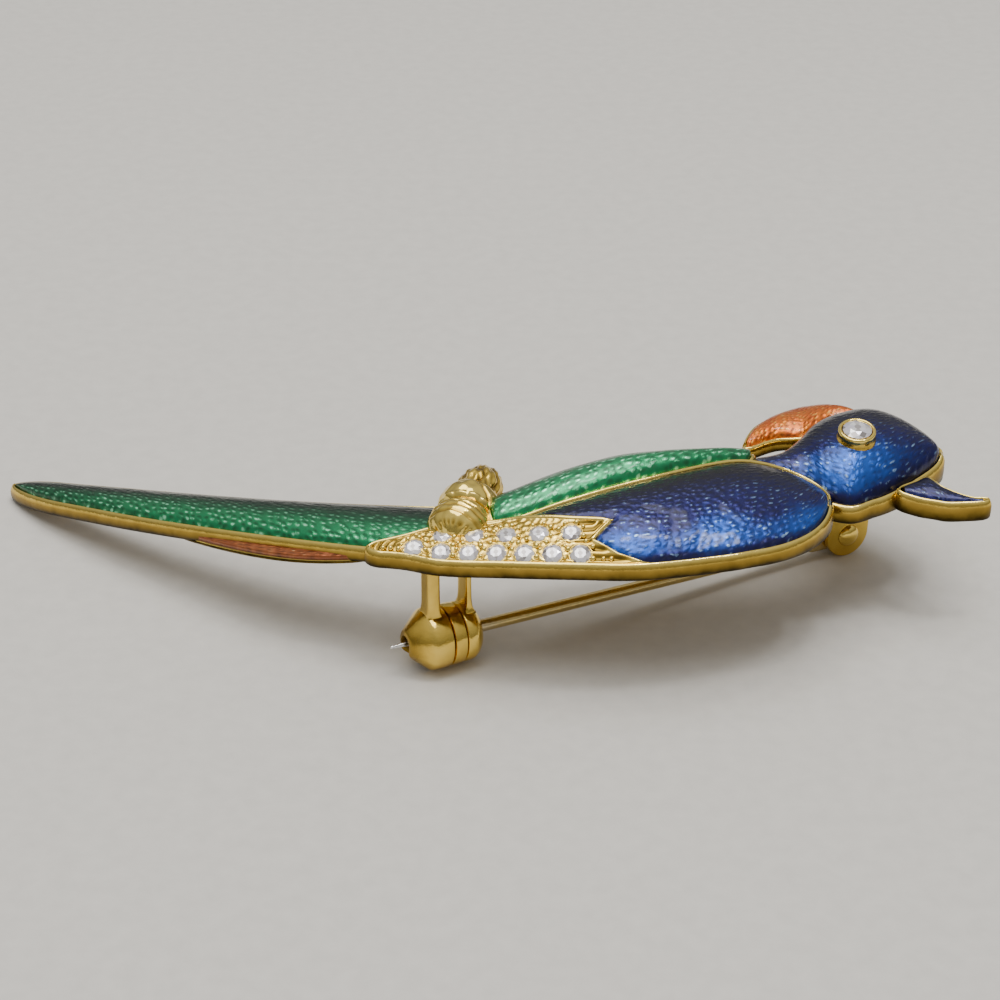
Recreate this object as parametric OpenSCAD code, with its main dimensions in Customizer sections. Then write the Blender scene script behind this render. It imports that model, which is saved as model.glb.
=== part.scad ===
/* [Back] */
// Height of the casting's rim above the surface that the brooch lies on
back_h = 8.3; // [7.6:0.1:10]
// Thickness of the cast metal under the enamel
skin_t = 0.75; // [0.6:0.05:1.1]
// Width of the raised gold rims
rim_w = 0.5; // [0.35:0.05:0.7]

/* [Enamel] */
// Depth of the cells that hold the enamel
cell_d = 0.6; // [0.45:0.05:0.8]
// How far the enamel swells over its rims
enamel_puff = 0.22; // [0.1:0.02:0.35]
// Gap between the enamel and its cell
enamel_gap = 0.05; // [0.03:0.01:0.08]

/* [Tail] */
// Length of the tail from its root to its tip
tail_len = 36.1; // [32:0.5:42]
// Width of the tail at its root
tail_w = 7.2; // [6:0.2:9]
// How far the tail's tip bends to the belly side
tail_sweep = 21; // [17:0.5:24]
// Height of the tail's rim wall
tail_wall = 1.1; // [0.8:0.1:1.5]
// Height of the tail's arched top over its rims
tail_crown = 0.8; // [0.5:0.1:1.2]
// Width of the lower feather where it shows most
feather_w = 2.8; // [2.4:0.1:3.2]
// Length of the lower feather
feather_len = 17; // [14:0.5:20]

/* [Body] */
// Length of the belly under the wing
body_len = 20.4; // [19.6:0.2:21.2]
// Width of the belly with the part that the wing covers
body_w = 6.5; // [6:0.1:7]
// Height of the belly's arched top over its rims
body_crown = 2.2; // [1.8:0.1:2.6]
// Height of the rim walls of wing and head
body_wall = 1; // [0.8:0.1:1.2]

/* [Wing] */
// Length of the wing with its paved tip
wing_len = 34.3; // [33:0.25:35]
// Width of the wing at its shoulder
wing_w = 10.6; // [10:0.1:11.2]
// Height of the wing's arched top over its rims
wing_crown = 1.2; // [0.9:0.1:1.5]
// Bend of the wing's middle line
wing_bend = 5.5; // [5:0.1:6]

/* [Head] */
// Length of the neck and head
head_len = 15.4; // [14.6:0.2:16.4]
// Width of the head
head_w = 13.2; // [12.4:0.2:14]
// Height of the head's arched top over its rims
head_crown = 3.8; // [3.2:0.1:4.4]
// How far the head lies to the belly side of the tail's root
head_bend = 10.2; // [9.6:0.1:10.8]
// Length of the beak
beak_len = 10.4; // [9.6:0.2:11.2]
// Width of the beak
beak_w = 5.4; // [4.8:0.2:6]
// Height of the beak's arched top over its rims
beak_crown = 0.9; // [0.7:0.1:1.3]
// Length of the crest
crest_len = 7; // [6.2:0.2:8]
// Width of the crest at its root
crest_w = 4.4; // [4:0.2:4.8]
// Height of the crest's wall
crest_wall = 1.5; // [1.3:0.1:1.8]

/* [Feet and perch] */
// Radius of the perch
perch_r = 1.7; // [1.4:0.1:2]
// Length of the perch across the tail's root
perch_len = 9.6; // [8.5:0.2:11]
// Radius of the toes round the perch
toe_r = 2.35; // [2.1:0.05:2.7]

/* [Stones] */
// Diameter of the crystals of the paved wing tip
stone_d = 1.5; // [1.3:0.05:1.55]
// Spacing of the crystals in the near row
near_pitch = 1.98; // [1.9:0.02:2.04]
// Spacing of the crystals in the far row
far_pitch = 2.3; // [2.1:0.05:2.35]
// Distance between the two rows of crystals
row_gap = 1.66; // [1.64:0.02:1.76]
// Distance of the near row from the wing's edge
row_inset = 1; // [0.98:0.02:1.1]
// Diameter of the eye's crystal
eye_d = 2.5; // [2.1:0.1:2.9]
// Wall of the eye's bezel
bezel_t = 0.4; // [0.3:0.05:0.55]
// Height of the eye's bezel over the head
bezel_h = 1; // [0.9:0.1:1.3]
// Gap between a crystal and its seat
stone_gap = 0.03; // [0.02:0.01:0.04]

/* [Catch] */
// Diameter of the catch's barrel
barrel_d = 4.7; // [4.4:0.1:5.2]
// Length of the catch's barrel
barrel_len = 5.7; // [5.5:0.1:6.4]
// Thickness of the turning disc
rotor_t = 0.95; // [0.8:0.05:1.1]
// Gap on each side of the turning disc
rotor_gap = 0.1; // [0.06:0.02:0.14]
// Diameter of the rotor's hub
hub_d = 3; // [2.8:0.1:3.3]
// Radial clearance of the hub in its housing
hub_fit = 0.05; // [0.03:0.01:0.08]
// Width of the slot that lets the stem in
slot_w = 1.3; // [1.2:0.05:1.45]

/* [Pin and hinge] */
// Diameter of the pin stem
stem_d = 0.95; // [0.85:0.05:1.05]
// How far the stem's point stands out of the catch
stem_out = 1.2; // [0.8:0.1:2]
// How far the stem's taper starts before the catch
taper_past = 0.6; // [0.4:0.1:1.2]
// How far the stem lies below the middle of its eye
stem_drop = 0.9; // [0.7:0.05:1]
// Diameter of the stem's eye
eyelet_d = 2.8; // [2.6:0.1:3.2]
// Thickness of the stem's eye
eyelet_t = 1; // [0.9:0.05:1.2]
// Distance from the middle of the eye at which the stem starts to spread into it
spread_len = 2.7; // [2.6:0.1:3.2]
// Radius of the rounded end of each hinge ear
ear_r = 1.85; // [1.75:0.05:2.1]
// Thickness of each hinge ear
ear_t = 0.7; // [0.6:0.05:0.85]
// Gap on each side of the stem's eye
ear_gap = 0.06; // [0.04:0.01:0.1]
// Diameter of the rivet
rivet_d = 1.2; // [1:0.05:1.3]
// Radial clearance of the stem's eye on the rivet
rivet_fit = 0.05; // [0.03:0.01:0.08]
// Gap between the rivet and its ears
rivet_gap = 0.02; // [0.01:0.01:0.03]

/* [Hidden] */
STONES = [for (i = [1:12]) str("stone_", i < 10 ? "0" : "", i)];
gold = "gold";
// the root of the tail, under the feet, from which every piece is placed
root = [-4, -20.7];
tail_curl = 1.4;
tail_droop = 1.35;
tail_x = root.x - tail_len;
// the body starts behind the root, the head over the body's end, and the wing ends on the head
body_x = root.x + 2.85;
head_x = body_x + body_len - 0.85;
wing_x = head_x + 6.1 - wing_len;
// a tray's fields: start, length, guide line, sideways reach, width, wall, crown, end roundings, rings, rows
// a row's fields: place along the tray, middle line, half width, near rim height, far rim height, crown
tail = [tail_x, tail_len + 2.5, 1, 0, tail_w, tail_wall, tail_crown, [5, 0.4], 24, [
    [0, 0, 0.24, 1, 1, 0.3],
    [0.13, 0, 0.27, 1, 1, 0.6],
    [0.3, 0, 0.34, 1, 1, 0.8],
    [0.6, 0, 0.42, 1, 1, 1],
    [0.85, 0, 0.48, 1, 1, 0.9],
    [1, 0, 0.5, 1, 1, 0.6]]];
feather = [wing_x + 2.2 - feather_len, feather_len, 2, feather_w, feather_w, 0.7, 0.1, [8, 0.6], 14, [
    [0, 0.25, 0.34, 0.985, 0.985, 1],
    [0.5, 0.1, 0.42, 0.985, 0.985, 1],
    [1, 0.05, 0.46, 0.985, 0.985, 1]]];
wing = [wing_x, wing_len, 0, wing_bend, wing_w, body_wall, wing_crown, [1.2, 6.5], 26, [
    [0, -0.4, 0.07, 0.95, 0.97, 0.2],
    [0.08, -0.44, 0.115, 0.97, 1.04, 0.3],
    [0.155, -0.48, 0.195, 0.988, 1.09, 0.4],
    [0.286, -0.573, 0.222, 1.024, 1.15, 0.5],
    [0.43, -0.518, 0.325, 1.066, 1.275, 0.7],
    [0.583, -0.364, 0.434, 1.084, 1.337, 0.95],
    [0.76, 0, 0.5, 1.078, 1.337, 1],
    [0.83, 0.14, 0.495, 1.07, 1.3, 1],
    [1, 0.43, 0.495, 1.036, 1.084, 1]]];
body = [body_x, body_len, 3, 0, body_w, body_wall - 0.2, body_crown, [0.6, 0.8], 18, [
    [0, 0, 0.38, 1, 1.04, 0.5],
    [0.235, 0, 0.5, 1, 1.03, 0.78],
    [0.466, 0, 0.486, 1, 1.03, 1],
    [0.627, 0, 0.42, 1, 1.03, 0.96],
    [0.83, 0, 0.33, 1, 1.03, 0.76],
    [1, 0, 0.3, 1, 1.03, 0.55]]];
head = [head_x, head_len, 0, head_bend, head_w, body_wall, head_crown, [1, 5.5], 20, [
    [0, 0.652, 0.163, 1.11, 1, 0.4],
    [0.169, 0.711, 0.186, 1.1, 1, 0.42],
    [0.266, 0.789, 0.277, 1.04, 1, 0.52],
    [0.364, 0.853, 0.417, 1, 1, 0.76],
    [0.494, 0.892, 0.5, 1, 1, 0.95],
    [0.623, 0.966, 0.481, 1, 1, 1],
    [0.753, 1, 0.42, 1, 1, 0.93],
    [0.883, 0.99, 0.334, 1, 1, 0.86],
    [1, 0.95, 0.25, 1, 1, 0.75]]];
beak = [head[0] + 0.3, beak_len, 0, head_bend + 6.7, beak_w, 0.85, beak_crown, [1.6, 1.5], 16, [
    [0, 0.77, 0.25, 0.98, 0.98, 0.5],
    [0.125, 0.864, 0.32, 0.98, 0.98, 0.8],
    [0.27, 0.935, 0.389, 0.99, 0.98, 1],
    [0.413, 0.97, 0.481, 1, 0.99, 1],
    [0.51, 0.979, 0.519, 1.01, 1, 1],
    [0.7, 1.024, 0.37, 1.02, 1, 1],
    [0.894, 0.988, 0.19, 1.03, 1.02, 0.9],
    [1, 0.955, 0.12, 1.03, 1.03, 0.8]]];
crest = [head[0] + head_len - 4.5, crest_len, 0, head_bend, crest_w, crest_wall, 0.5, [0.6, 0.8], 14, [
    [0, 0.451, 0.1, 1.03, 1.03, 0.4],
    [0.243, 0.475, 0.307, 1, 1.03, 0.8],
    [0.386, 0.495, 0.43, 1, 1.02, 1],
    [0.53, 0.4, 0.29, 1, 1.02, 0.8],
    [0.8, 0.319, 0.14, 1.02, 1.02, 0.5],
    [1, 0.319, 0.12, 1.03, 1.03, 0.4]]];
// where the wing's blue cell starts on the near side, past the spikes of the paved tip
wing_cell = [[0, 0.9], [0.35, 0.9], [0.5, 0.1], [0.6, -1], [1, -1]];
// the cells of tail, belly and head start behind the wing that lies over them, the beak's behind the head
behind_wing = 1;
behind_head = 2;
tuck = 0.4;

function tail_s(x) = max(0, min(1, (x - tail_x) / tail_len));
function tail_y(x) = root.y + tail_sweep * pow(1 - tail_s(x), tail_curl);
function tail_z(x) = back_h * (1 - pow(1 - tail_s(x), tail_droop));
function guide_y(k, x) = k == 0 ? root.y : k == 1 ? tail_y(x) : k == 2 ? edge_y(tail, x, -1)
    : edge_y(wing, min(x, wing[0] + wing_len - 5), 1) - tuck;
function guide_z(k, x) = k == 1 || k == 2 ? tail_z(x) : back_h;

// a smooth curve through a table's column, flat past its ends
function row(t, x, i = 0) = i >= len(t) - 2 || x < t[i + 1][0] ? i : row(t, x, i + 1);
function slope(t, c, i) = let (a = max(0, i - 1), b = min(len(t) - 1, i + 1))
    (t[b][c] - t[a][c]) / (t[b][0] - t[a][0]);
function curve(t, c, x) = let (i = row(t, x), h = t[i + 1][0] - t[i][0],
    u = max(0, min(1, (x - t[i][0]) / h)))
    (1 + 2 * u) * pow(1 - u, 2) * t[i][c] + u * u * (3 - 2 * u) * t[i + 1][c]
    + h * u * pow(1 - u, 2) * slope(t, c, i) - h * u * u * (1 - u) * slope(t, c, i + 1);
function line(t, x) = let (i = row(t, x), u = (x - t[i][0]) / (t[i + 1][0] - t[i][0]))
    t[i][1] + (t[i + 1][1] - t[i][1]) * max(0, min(1, u));

// a tray's end rounding, middle line, half width and heights at a place x
function round_to(d, r) = d >= r ? 1 : sqrt(max(0, 1 - pow(1 - d / r, 2)));
function ends(t, x) = round_to(max(0, x - t[0]), t[7][0]) * round_to(max(0, t[0] + t[1] - x), t[7][1]);
function col(t, c, x) = curve(t[9], c, (x - t[0]) / t[1]);
function half_w(t, x) = max(0.12, t[4] * col(t, 2, x) * ends(t, x));
function mid_y(t, x) = guide_y(t[2], x) + (t[2] == 3 ? t[4] * col(t, 2, x) : t[3] * col(t, 1, x));
function edge_y(t, x, side) = mid_y(t, x) + side * half_w(t, x);
function near_z(t, x) = t[2] == 3 ? base_z(wing, x, 0.75) + 0.2 : guide_z(t[2], x) * col(t, 3, x);
function base_z(t, x, v) = mix(near_z(t, x), guide_z(t[2], x) * col(t, 4, x), (1 + v) / 2);
function top_z(t, x, v) = base_z(t, x, v) + t[5]
    + t[6] * col(t, 5, x) * pow(ends(t, x), 0.6) * (1 - pow(abs(v), 2.5));
function v_at(t, x, y) = (y - mid_y(t, x)) / half_w(t, x);
function surface_z(t, x, y) = top_z(t, x, max(-1, min(1, v_at(t, x, y))));

// the rim takes more room across the tray where its edge runs at a slant, and is thinner on a small tray
function slant(t, x, side) = let (m = (edge_y(t, x + 0.05, side) - edge_y(t, x - 0.05, side)) / 0.1)
    min(4, sqrt(1 + m * m));
function rim_v(t, x, side) = side * max(0.12, 1 - min(rim_w, 0.1 * t[4]) * slant(t, x, side) / half_w(t, x));
function cell_lo(t, x, start) = max(rim_v(t, x, -1), start);
function cell_hi(t, x) = t[2] == 2 ? v_at(t, x, edge_y(tail, x, -1)) : rim_v(t, x, 1);
function ring_x(t, i) = t[0] + 0.05 + (t[1] - 0.1) * (1 - cos(180 * i / t[8])) / 2;
function mix(a, b, u) = a + (b - a) * u;
function start_v(t, x, cell) = let (front = cell == behind_wing ? wing : head)
    cell == [] || (is_num(cell) && x < front[0] + 0.1) ? -1
    : is_num(cell) ? v_at(t, x, edge_y(front, x, 1) + 0.2) : line(cell, (x - t[0]) / t[1]);

// one ring of a tray: the top from near to far, with the cell sunk in it, and the flat back
draft = 0.06;
floor_n = 7;
function depth(t) = min(cell_d, 0.55 * t[5]);
function cell_edge(t, x, cell) = min(cell_hi(t, x) - 0.2 / half_w(t, x), cell_lo(t, x, start_v(t, x, cell)));
function cell_depth(t, x, lo, hi) = depth(t) * max(0, min(1, ((hi - lo) * half_w(t, x) - 0.2) / 0.3));
function tray_ring(t, x, deep, cell) = let (
    hw = half_w(t, x), y = mid_y(t, x), hi = cell_hi(t, x), lo = cell_edge(t, x, cell),
    rims = cell == [] ? 1 : 3, d = deep * cell_depth(t, x, lo, hi), s = min(draft / hw, (hi - lo) / 4),
    top = concat([for (j = [0:rims]) [mix(-1, lo, j / rims), 0]],
        [for (j = [0:floor_n - 1]) [mix(lo + s, hi - s, j / (floor_n - 1)), d]],
        [[hi, 0], [1, 0]]),
    n = len(top))
    concat([for (p = top) [x, y + p[0] * hw, top_z(t, x, p[0]) - p[1]]],
        [for (j = [0:n - 1]) let (v = mix(1, -1, j / (n - 1))) [x, y + v * hw, base_z(t, x, v)]]);

// one ring of the enamel that fills a tray's cell, over the same stations as the cell's floor
function fill_ring(t, x, cell) = let (
    hw = half_w(t, x), y = mid_y(t, x), hi = cell_hi(t, x), lo = cell_edge(t, x, cell), m = floor_n - 1,
    s = min(draft / hw, (hi - lo) / 4), e = min(enamel_gap / hw, (hi - lo) / 8),
    d = max(0.05, cell_depth(t, x, lo, hi) - enamel_gap))
    concat([for (j = [0:m]) let (v = mix(lo + s, hi - s, j / m) + (j == 0 ? e - s : j == m ? s - e : 0))
            [x, y + v * hw, top_z(t, x, v) + enamel_puff * 4 * j / m * (1 - j / m)]],
        [for (j = [m:-1:0]) let (v = mix(lo + s, hi - s, j / m) + (j == 0 ? e : j == m ? -e : 0))
            [x, y + v * hw, top_z(t, x, v) - d]]);

// closes a row of rings into a solid, with flat ends
module loft(rings) {
    n = len(rings[0]);
    m = len(rings);
    side = [for (i = [0:m - 2], j = [0:n - 1]) let (a = i * n + j, b = i * n + (j + 1) % n)
        each j < n / 2 ? [[a, b, a + n], [b, b + n, a + n]] : [[a, b, b + n], [a, b + n, a + n]]];
    cap = [for (j = [0:n / 2 - 2]) each [[j, n - 1 - j, j + 1], [j + 1, n - 1 - j, n - 2 - j]]];
    far = (m - 1) * n;
    polyhedron(points = [for (r = rings) each r],
        faces = concat(side, cap, [for (f = cap) [f[0] + far, f[2] + far, f[1] + far]]));
}

// a tray's cell runs over its rings first to last
module tray(t, first, last, cell = []) {
    loft([for (i = [0:t[8]]) tray_ring(t, ring_x(t, i), i >= first && i <= last ? 1 : 0, cell)]);
}
module fill(t, first, last, cell = []) {
    r = [for (i = [first:last]) fill_ring(t, ring_x(t, i), cell)];
    n = last - first;
    trim = enamel_gap + draft;
    loft([for (i = [0:n]) i == 0 ? mix(r[0], r[1], trim / (r[1][0].x - r[0][0].x))
        : i == n ? mix(r[n], r[n - 1], trim / (r[n][0].x - r[n - 1][0].x)) : r[i]]);
}

// the hollows of the back follow the top and leave the cast skin under the cells
function over(t, x, y) = x < t[0] || x > t[0] + t[1] || abs(v_at(t, x, y)) > 1 ? 0 : surface_z(t, x, y);
function skin_z(x, y) = max(over(wing, x, y), over(body, x, y), over(head, x, y)) - cell_d - skin_t;
function hollow_ring(x, y0, y1, e) = let (low = back_h - 0.6, n = 9)
    concat([for (j = [0:n - 1]) let (u = 2 * j / (n - 1) - 1, y = mix(y0, y1, (u + 1) / 2))
            [x, y, low + 0.1 + max(0, skin_z(x, y) - low - 0.1) * (1 - pow(abs(u), 5)) * e]],
        [for (j = [0:n - 1]) [x, mix(y1, y0, j / (n - 1)), low]]);
module hollows() {
    loft([for (i = [0:10]) let (x = body[0] + 2.5 + (body_len - 3) * i / 10)
        hollow_ring(x, edge_y(wing, x, -1) + 1.9, edge_y(body, x, 1) - 1.5, round_to(min(i, 10 - i), 3))]);
    loft([for (i = [0:8]) let (x = head[0] + 5.2 + (head_len - 8.4) * i / 8)
        hollow_ring(x, edge_y(head, x, -1) + 1.6, edge_y(head, x, 1) - 1.8, round_to(min(i, 8 - i), 2.5))]);
}

// bench to brooch frame: the middle of the brooch's box comes over the origin
crest_end = crest[0] + crest_len;
near_edge = min([for (i = [0:40]) edge_y(wing, wing[0] + wing_len * (0.3 + i / 100), -1)]);
far_edge = edge_y(tail, tail_x + 0.6, 1);
module placed() {
    translate([-(tail_x + crest_end) / 2, -(near_edge + far_edge) / 2, 0]) children();
}

// the surface normal of a tray, for what is set square to it
function lean(t, x, y) = let (e = 0.2,
    dx = (surface_z(t, x + e, y) - surface_z(t, x - e, y)) / (2 * e),
    dy = (surface_z(t, x, y + e) - surface_z(t, x, y - e)) / (2 * e)) [atan(dy), -atan(dx), 0];
module set_on(t, p, sink = 0) {
    translate([p.x, p.y, surface_z(t, p.x, p.y)]) rotate(lean(t, p.x, p.y))
        translate([0, 0, -sink]) children();
}

// the paved rows: near row of seven from the tip, far row of five
function row_y(x) = edge_y(wing, x, -1) + row_inset;
near_row = [for (i = [0:6]) let (x = wing[0] + 3.6 + i * near_pitch) [x, row_y(x)]];
far_row = [for (i = [0:4]) let (x = wing[0] + 5.65 + i * far_pitch) [x, row_y(x) + row_gap]];
paved = concat(near_row, far_row);
eye_at = [head[0] + 8.2, mid_y(head, head[0] + 8.2) - 1.7];

// a brilliant: eight-sided table, crown, girdle and pavilion
module crystal(d) {
    r = d / 2;
    levels = [[0.56, 0.3, 22.5], [1, 0.05, 0], [1, -0.05, 0], [0.06, -0.72, 0]];
    rings = [for (l = levels) [for (k = [0:7]) let (a = l[2] + k * 45)
        [r * l[0] * cos(a), r * l[0] * sin(a), r * l[1]]]];
    side = [for (i = [0:2], k = [0:7]) let (a = i * 8 + k, b = i * 8 + (k + 1) % 8)
        each [[a, b, a + 8], [b, b + 8, a + 8]]];
    polyhedron(points = [for (g = rings) each g],
        faces = concat(side, [[for (k = [7:-1:0]) k], [for (k = [0:7]) 24 + k]]));
}

module seat(t, p, d) {
    set_on(t, p, 0.78 * d / 2) cylinder(d = d + 2 * stone_gap, h = d, $fn = 12);
}

module stone(i) {
    color("white") placed() set_on(wing, paved[i], -0.02) crystal(stone_d);
}

// the perch and the toes on it: one turned form, thin ends and two thick bands of toes
perch_dir = 76;
perch_at = [root.x + 1.1, root.y - 0.3, back_h + 1.5];
perch_rows = [[0, 0.45, 0], [0.03, 0.9, 0], [0.1, 1, 0.7], [0.2, 1, 1], [0.3, 1, 0.75], [0.35, 1, 0.3],
    [0.4, 1, 0.7], [0.48, 1, 1], [0.58, 1, 0.75], [0.63, 1, 0], [0.72, 0.9, 0], [0.82, 1, 0],
    [0.92, 0.88, 0], [1, 0.7, 0]];
module perch() {
    sides = 14;
    loft_turned([for (p = perch_rows) let (r = perch_r * p[1] + (toe_r - perch_r) * p[2])
        [for (k = [0:sides - 1]) let (a = 360 * k / sides)
            [p[0] * perch_len, r * cos(a), max(-1.2, r * sin(a))]]]);
}
module loft_turned(rings) {
    n = len(rings[0]);
    m = len(rings);
    side = [for (i = [0:m - 2], j = [0:n - 1]) let (a = i * n + j, b = i * n + (j + 1) % n)
        each [[a, a + n, b], [b, a + n, b + n]]];
    polyhedron(points = [for (r = rings) each r],
        faces = concat(side, [[for (j = [0:n - 1]) j], [for (j = [n - 1:-1:0]) (m - 1) * n + j]]));
}

// the pin's line: from the catch under the wing's tip to the hinge under the head
barrel_r = barrel_d / 2;
catch_at = [wing_x + 5.45, root.y - 3.15];
hinge_at = [head[0] + 8.36, mid_y(head, head[0] + 8.36) + 3.7];
pin_run = norm(hinge_at - catch_at);
pin_dir = atan2(hinge_at.y - catch_at.y, hinge_at.x - catch_at.x);
pin_tilt = asin((barrel_r - ear_r + stem_drop) / pin_run);
module at_hinge() {
    translate([hinge_at.x, hinge_at.y, ear_r]) rotate([0, pin_tilt, pin_dir]) children();
}
module at_catch() { at_hinge() translate([-pin_run, 0, -stem_drop]) children(); }
module turned(profile) {
    rotate([90, 0, 90]) rotate_extrude($fn = 64) polygon(profile);
}

// a post from the pin's line up into the middle of the cast skin
module post(t, at, x, y, lx, ly, low) {
    corners = [for (q = [[-1, -1], [1, -1], [1, 1], [-1, 1]]) let (
        px = x + q.x * lx / 2, py = y + q.y * ly / 2)
        [at.x + px * cos(pin_dir) - py * sin(pin_dir), at.y + px * sin(pin_dir) + py * cos(pin_dir)]];
    polyhedron(points = concat([for (c = corners) [c.x, c.y, low]],
            [for (c = corners) [c.x, c.y, surface_z(t, c.x, c.y) - cell_d - skin_t / 2]]),
        faces = [[0, 1, 2], [0, 2, 3], [4, 6, 5], [4, 7, 6], [0, 5, 1], [0, 4, 5], [1, 6, 2], [1, 5, 6],
            [2, 7, 3], [2, 6, 7], [3, 4, 0], [3, 7, 4]]);
}

half_len = barrel_len / 2;
disc_x = 0.1;
rotor_x = disc_x + rotor_gap;
end_x = rotor_x + rotor_t + rotor_gap;
hub_r = hub_d / 2;
hub_in = 0.7;
module catch_housing() {
    difference() {
        union() {
            turned([[0, -half_len], [0.8, -half_len], [1.1, -half_len + 0.15], [barrel_r, -1.2],
                [barrel_r, disc_x - 0.1], [barrel_r - 0.1, disc_x], [0, disc_x]]);
            turned([[0, end_x], [barrel_r - 0.2, end_x], [barrel_r - 0.1, end_x + 0.1],
                [barrel_r - 0.1, half_len - 0.9], [barrel_r - 0.5, half_len - 0.35],
                [1.3, half_len], [0, half_len]]);
        }
        turned([[0, disc_x - hub_in - rotor_gap], [hub_r + hub_fit, disc_x - hub_in - rotor_gap],
            [hub_r + hub_fit, end_x + hub_in + rotor_gap], [0, end_x + hub_in + rotor_gap]]);
        stem_slot(half_len);
    }
}
module stem_slot(reach) {
    translate([-reach - 1, -slot_w / 2, -barrel_d]) cube([2 * reach + 2, slot_w, barrel_d]);
    translate([-reach - 1, 0, 0]) rotate([0, 90, 0]) cylinder(d = slot_w, h = 2 * reach + 2, $fn = 48);
}

ear_y = eyelet_t / 2 + ear_gap;
module hinge_ears() {
    for (s = [-1, 1]) {
        difference() {
            translate([0, s * (ear_y + ear_t / 2), 0]) rotate([90, 0, 0])
                cylinder(r = ear_r, h = ear_t, center = true, $fn = 64);
            rotate([90, 0, 0]) cylinder(d = rivet_d + 2 * rivet_gap, h = 8, center = true, $fn = 48);
        }
    }
}

// the plate is one cast surface, so it is joined as one mesh of this length
cast_len = crest_end - tail_x - 0.1;
module plate() {
    resize([cast_len, 0, 0]) difference() {
        union() {
            tray(tail, 3, 19, behind_wing);
            tray(feather, 5, 10);
            tray(body, 3, 15, behind_wing);
            tray(wing, 10, 23, wing_cell);
            tray(head, 3, 17, behind_wing);
            tray(beak, 2, 13, behind_head);
            tray(crest, 4, 10);
            translate(perch_at) rotate([0, 0, perch_dir]) translate([-2.2, 0, 0]) perch();
        }
        for (p = paved) seat(wing, p, stone_d);
        hollows();
    }
}

module casting() {
    color(gold) placed() {
        plate();
        set_on(head, eye_at, cell_d + 0.2) difference() {
            cylinder(d = eye_d + 2 * bezel_t, h = cell_d + 0.2 + bezel_h, $fn = 48);
            translate([0, 0, cell_d + 0.2]) cylinder(d = eye_d + 2 * stone_gap, h = 4, $fn = 48);
        }
        at_catch() catch_housing();
        post(wing, catch_at, disc_x - 0.6, 0, 1, 1.7, barrel_r + hub_r + hub_fit + 0.2);
        post(wing, catch_at, end_x + 0.4, 0, 0.75, 1.7, barrel_r + hub_r + hub_fit + 0.2);
        at_hinge() hinge_ears();
        for (s = [-1, 1]) post(head, hinge_at, 0.1, s * (ear_y + ear_t / 2), 3.2, ear_t, ear_r + rivet_d / 2 + 0.2);
    }
}

module enamel_tail() { color("seagreen") placed() fill(tail, 3, 19, behind_wing); }
module enamel_tail_feather() { color("peru") placed() fill(feather, 6, 10); }
module enamel_belly() { color("seagreen") placed() fill(body, 3, 15, behind_wing); }
module enamel_wing() { color("mediumblue") placed() fill(wing, 12, 23, wing_cell); }
module enamel_head() {
    color("mediumblue") placed() difference() {
        fill(head, 3, 17, behind_wing);
        set_on(head, eye_at, 2) cylinder(d = eye_d + 2 * bezel_t + 2 * enamel_gap, h = 4, $fn = 48);
    }
}
module enamel_beak() { color("darkorange") placed() fill(beak, 2, 13, behind_head); }
module enamel_crest() { color("mediumblue") placed() fill(crest, 4, 10); }
module eye_stone() {
    color("white") placed() set_on(head, eye_at, -bezel_h + 0.05) crystal(eye_d);
}

module pin_stem() {
    color("silver") placed() at_hinge() difference() {
        union() {
            hull() {
                rotate([90, 0, 0]) cylinder(d = eyelet_d, h = eyelet_t, center = true, $fn = 48);
                translate([-spread_len, 0, -stem_drop]) sphere(d = stem_d + 0.1, $fn = 24);
            }
            translate([0, 0, -stem_drop]) turned([[0, -pin_run - half_len - stem_out], [0.12, -pin_run - half_len - stem_out],
                [stem_d / 2, -pin_run + half_len + taper_past], [stem_d / 2, 0], [0, 0]]);
        }
        rotate([90, 0, 0]) cylinder(d = rivet_d + 2 * rivet_fit, h = 4, center = true, $fn = 48);
    }
}

module hinge_rivet() {
    head_y = ear_y + ear_t + rivet_gap;
    color(gold) placed() at_hinge() rotate([0, 0, 90])
        turned([[0, -head_y - 0.45], [0.5, -head_y - 0.4], [0.9, -head_y], [rivet_d / 2, -head_y],
            [rivet_d / 2, head_y], [0.9, head_y], [0.5, head_y + 0.4], [0, head_y + 0.45]]);
}

module catch_rotor() {
    color(gold) placed() at_catch() difference() {
        turned([[0, disc_x - hub_in], [hub_r, disc_x - hub_in], [hub_r, rotor_x], [barrel_r - 0.05, rotor_x],
            [barrel_r - 0.05, rotor_x + rotor_t], [hub_r, rotor_x + rotor_t], [hub_r, end_x + hub_in],
            [0, end_x + hub_in]]);
        stem_slot(half_len);
    }
}

casting();
enamel_tail();
enamel_tail_feather();
enamel_belly();
enamel_wing();
enamel_head();
enamel_beak();
enamel_crest();
for (i = [0:11]) stone(i);
eye_stone();
pin_stem();
hinge_rivet();
catch_rotor();
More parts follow.
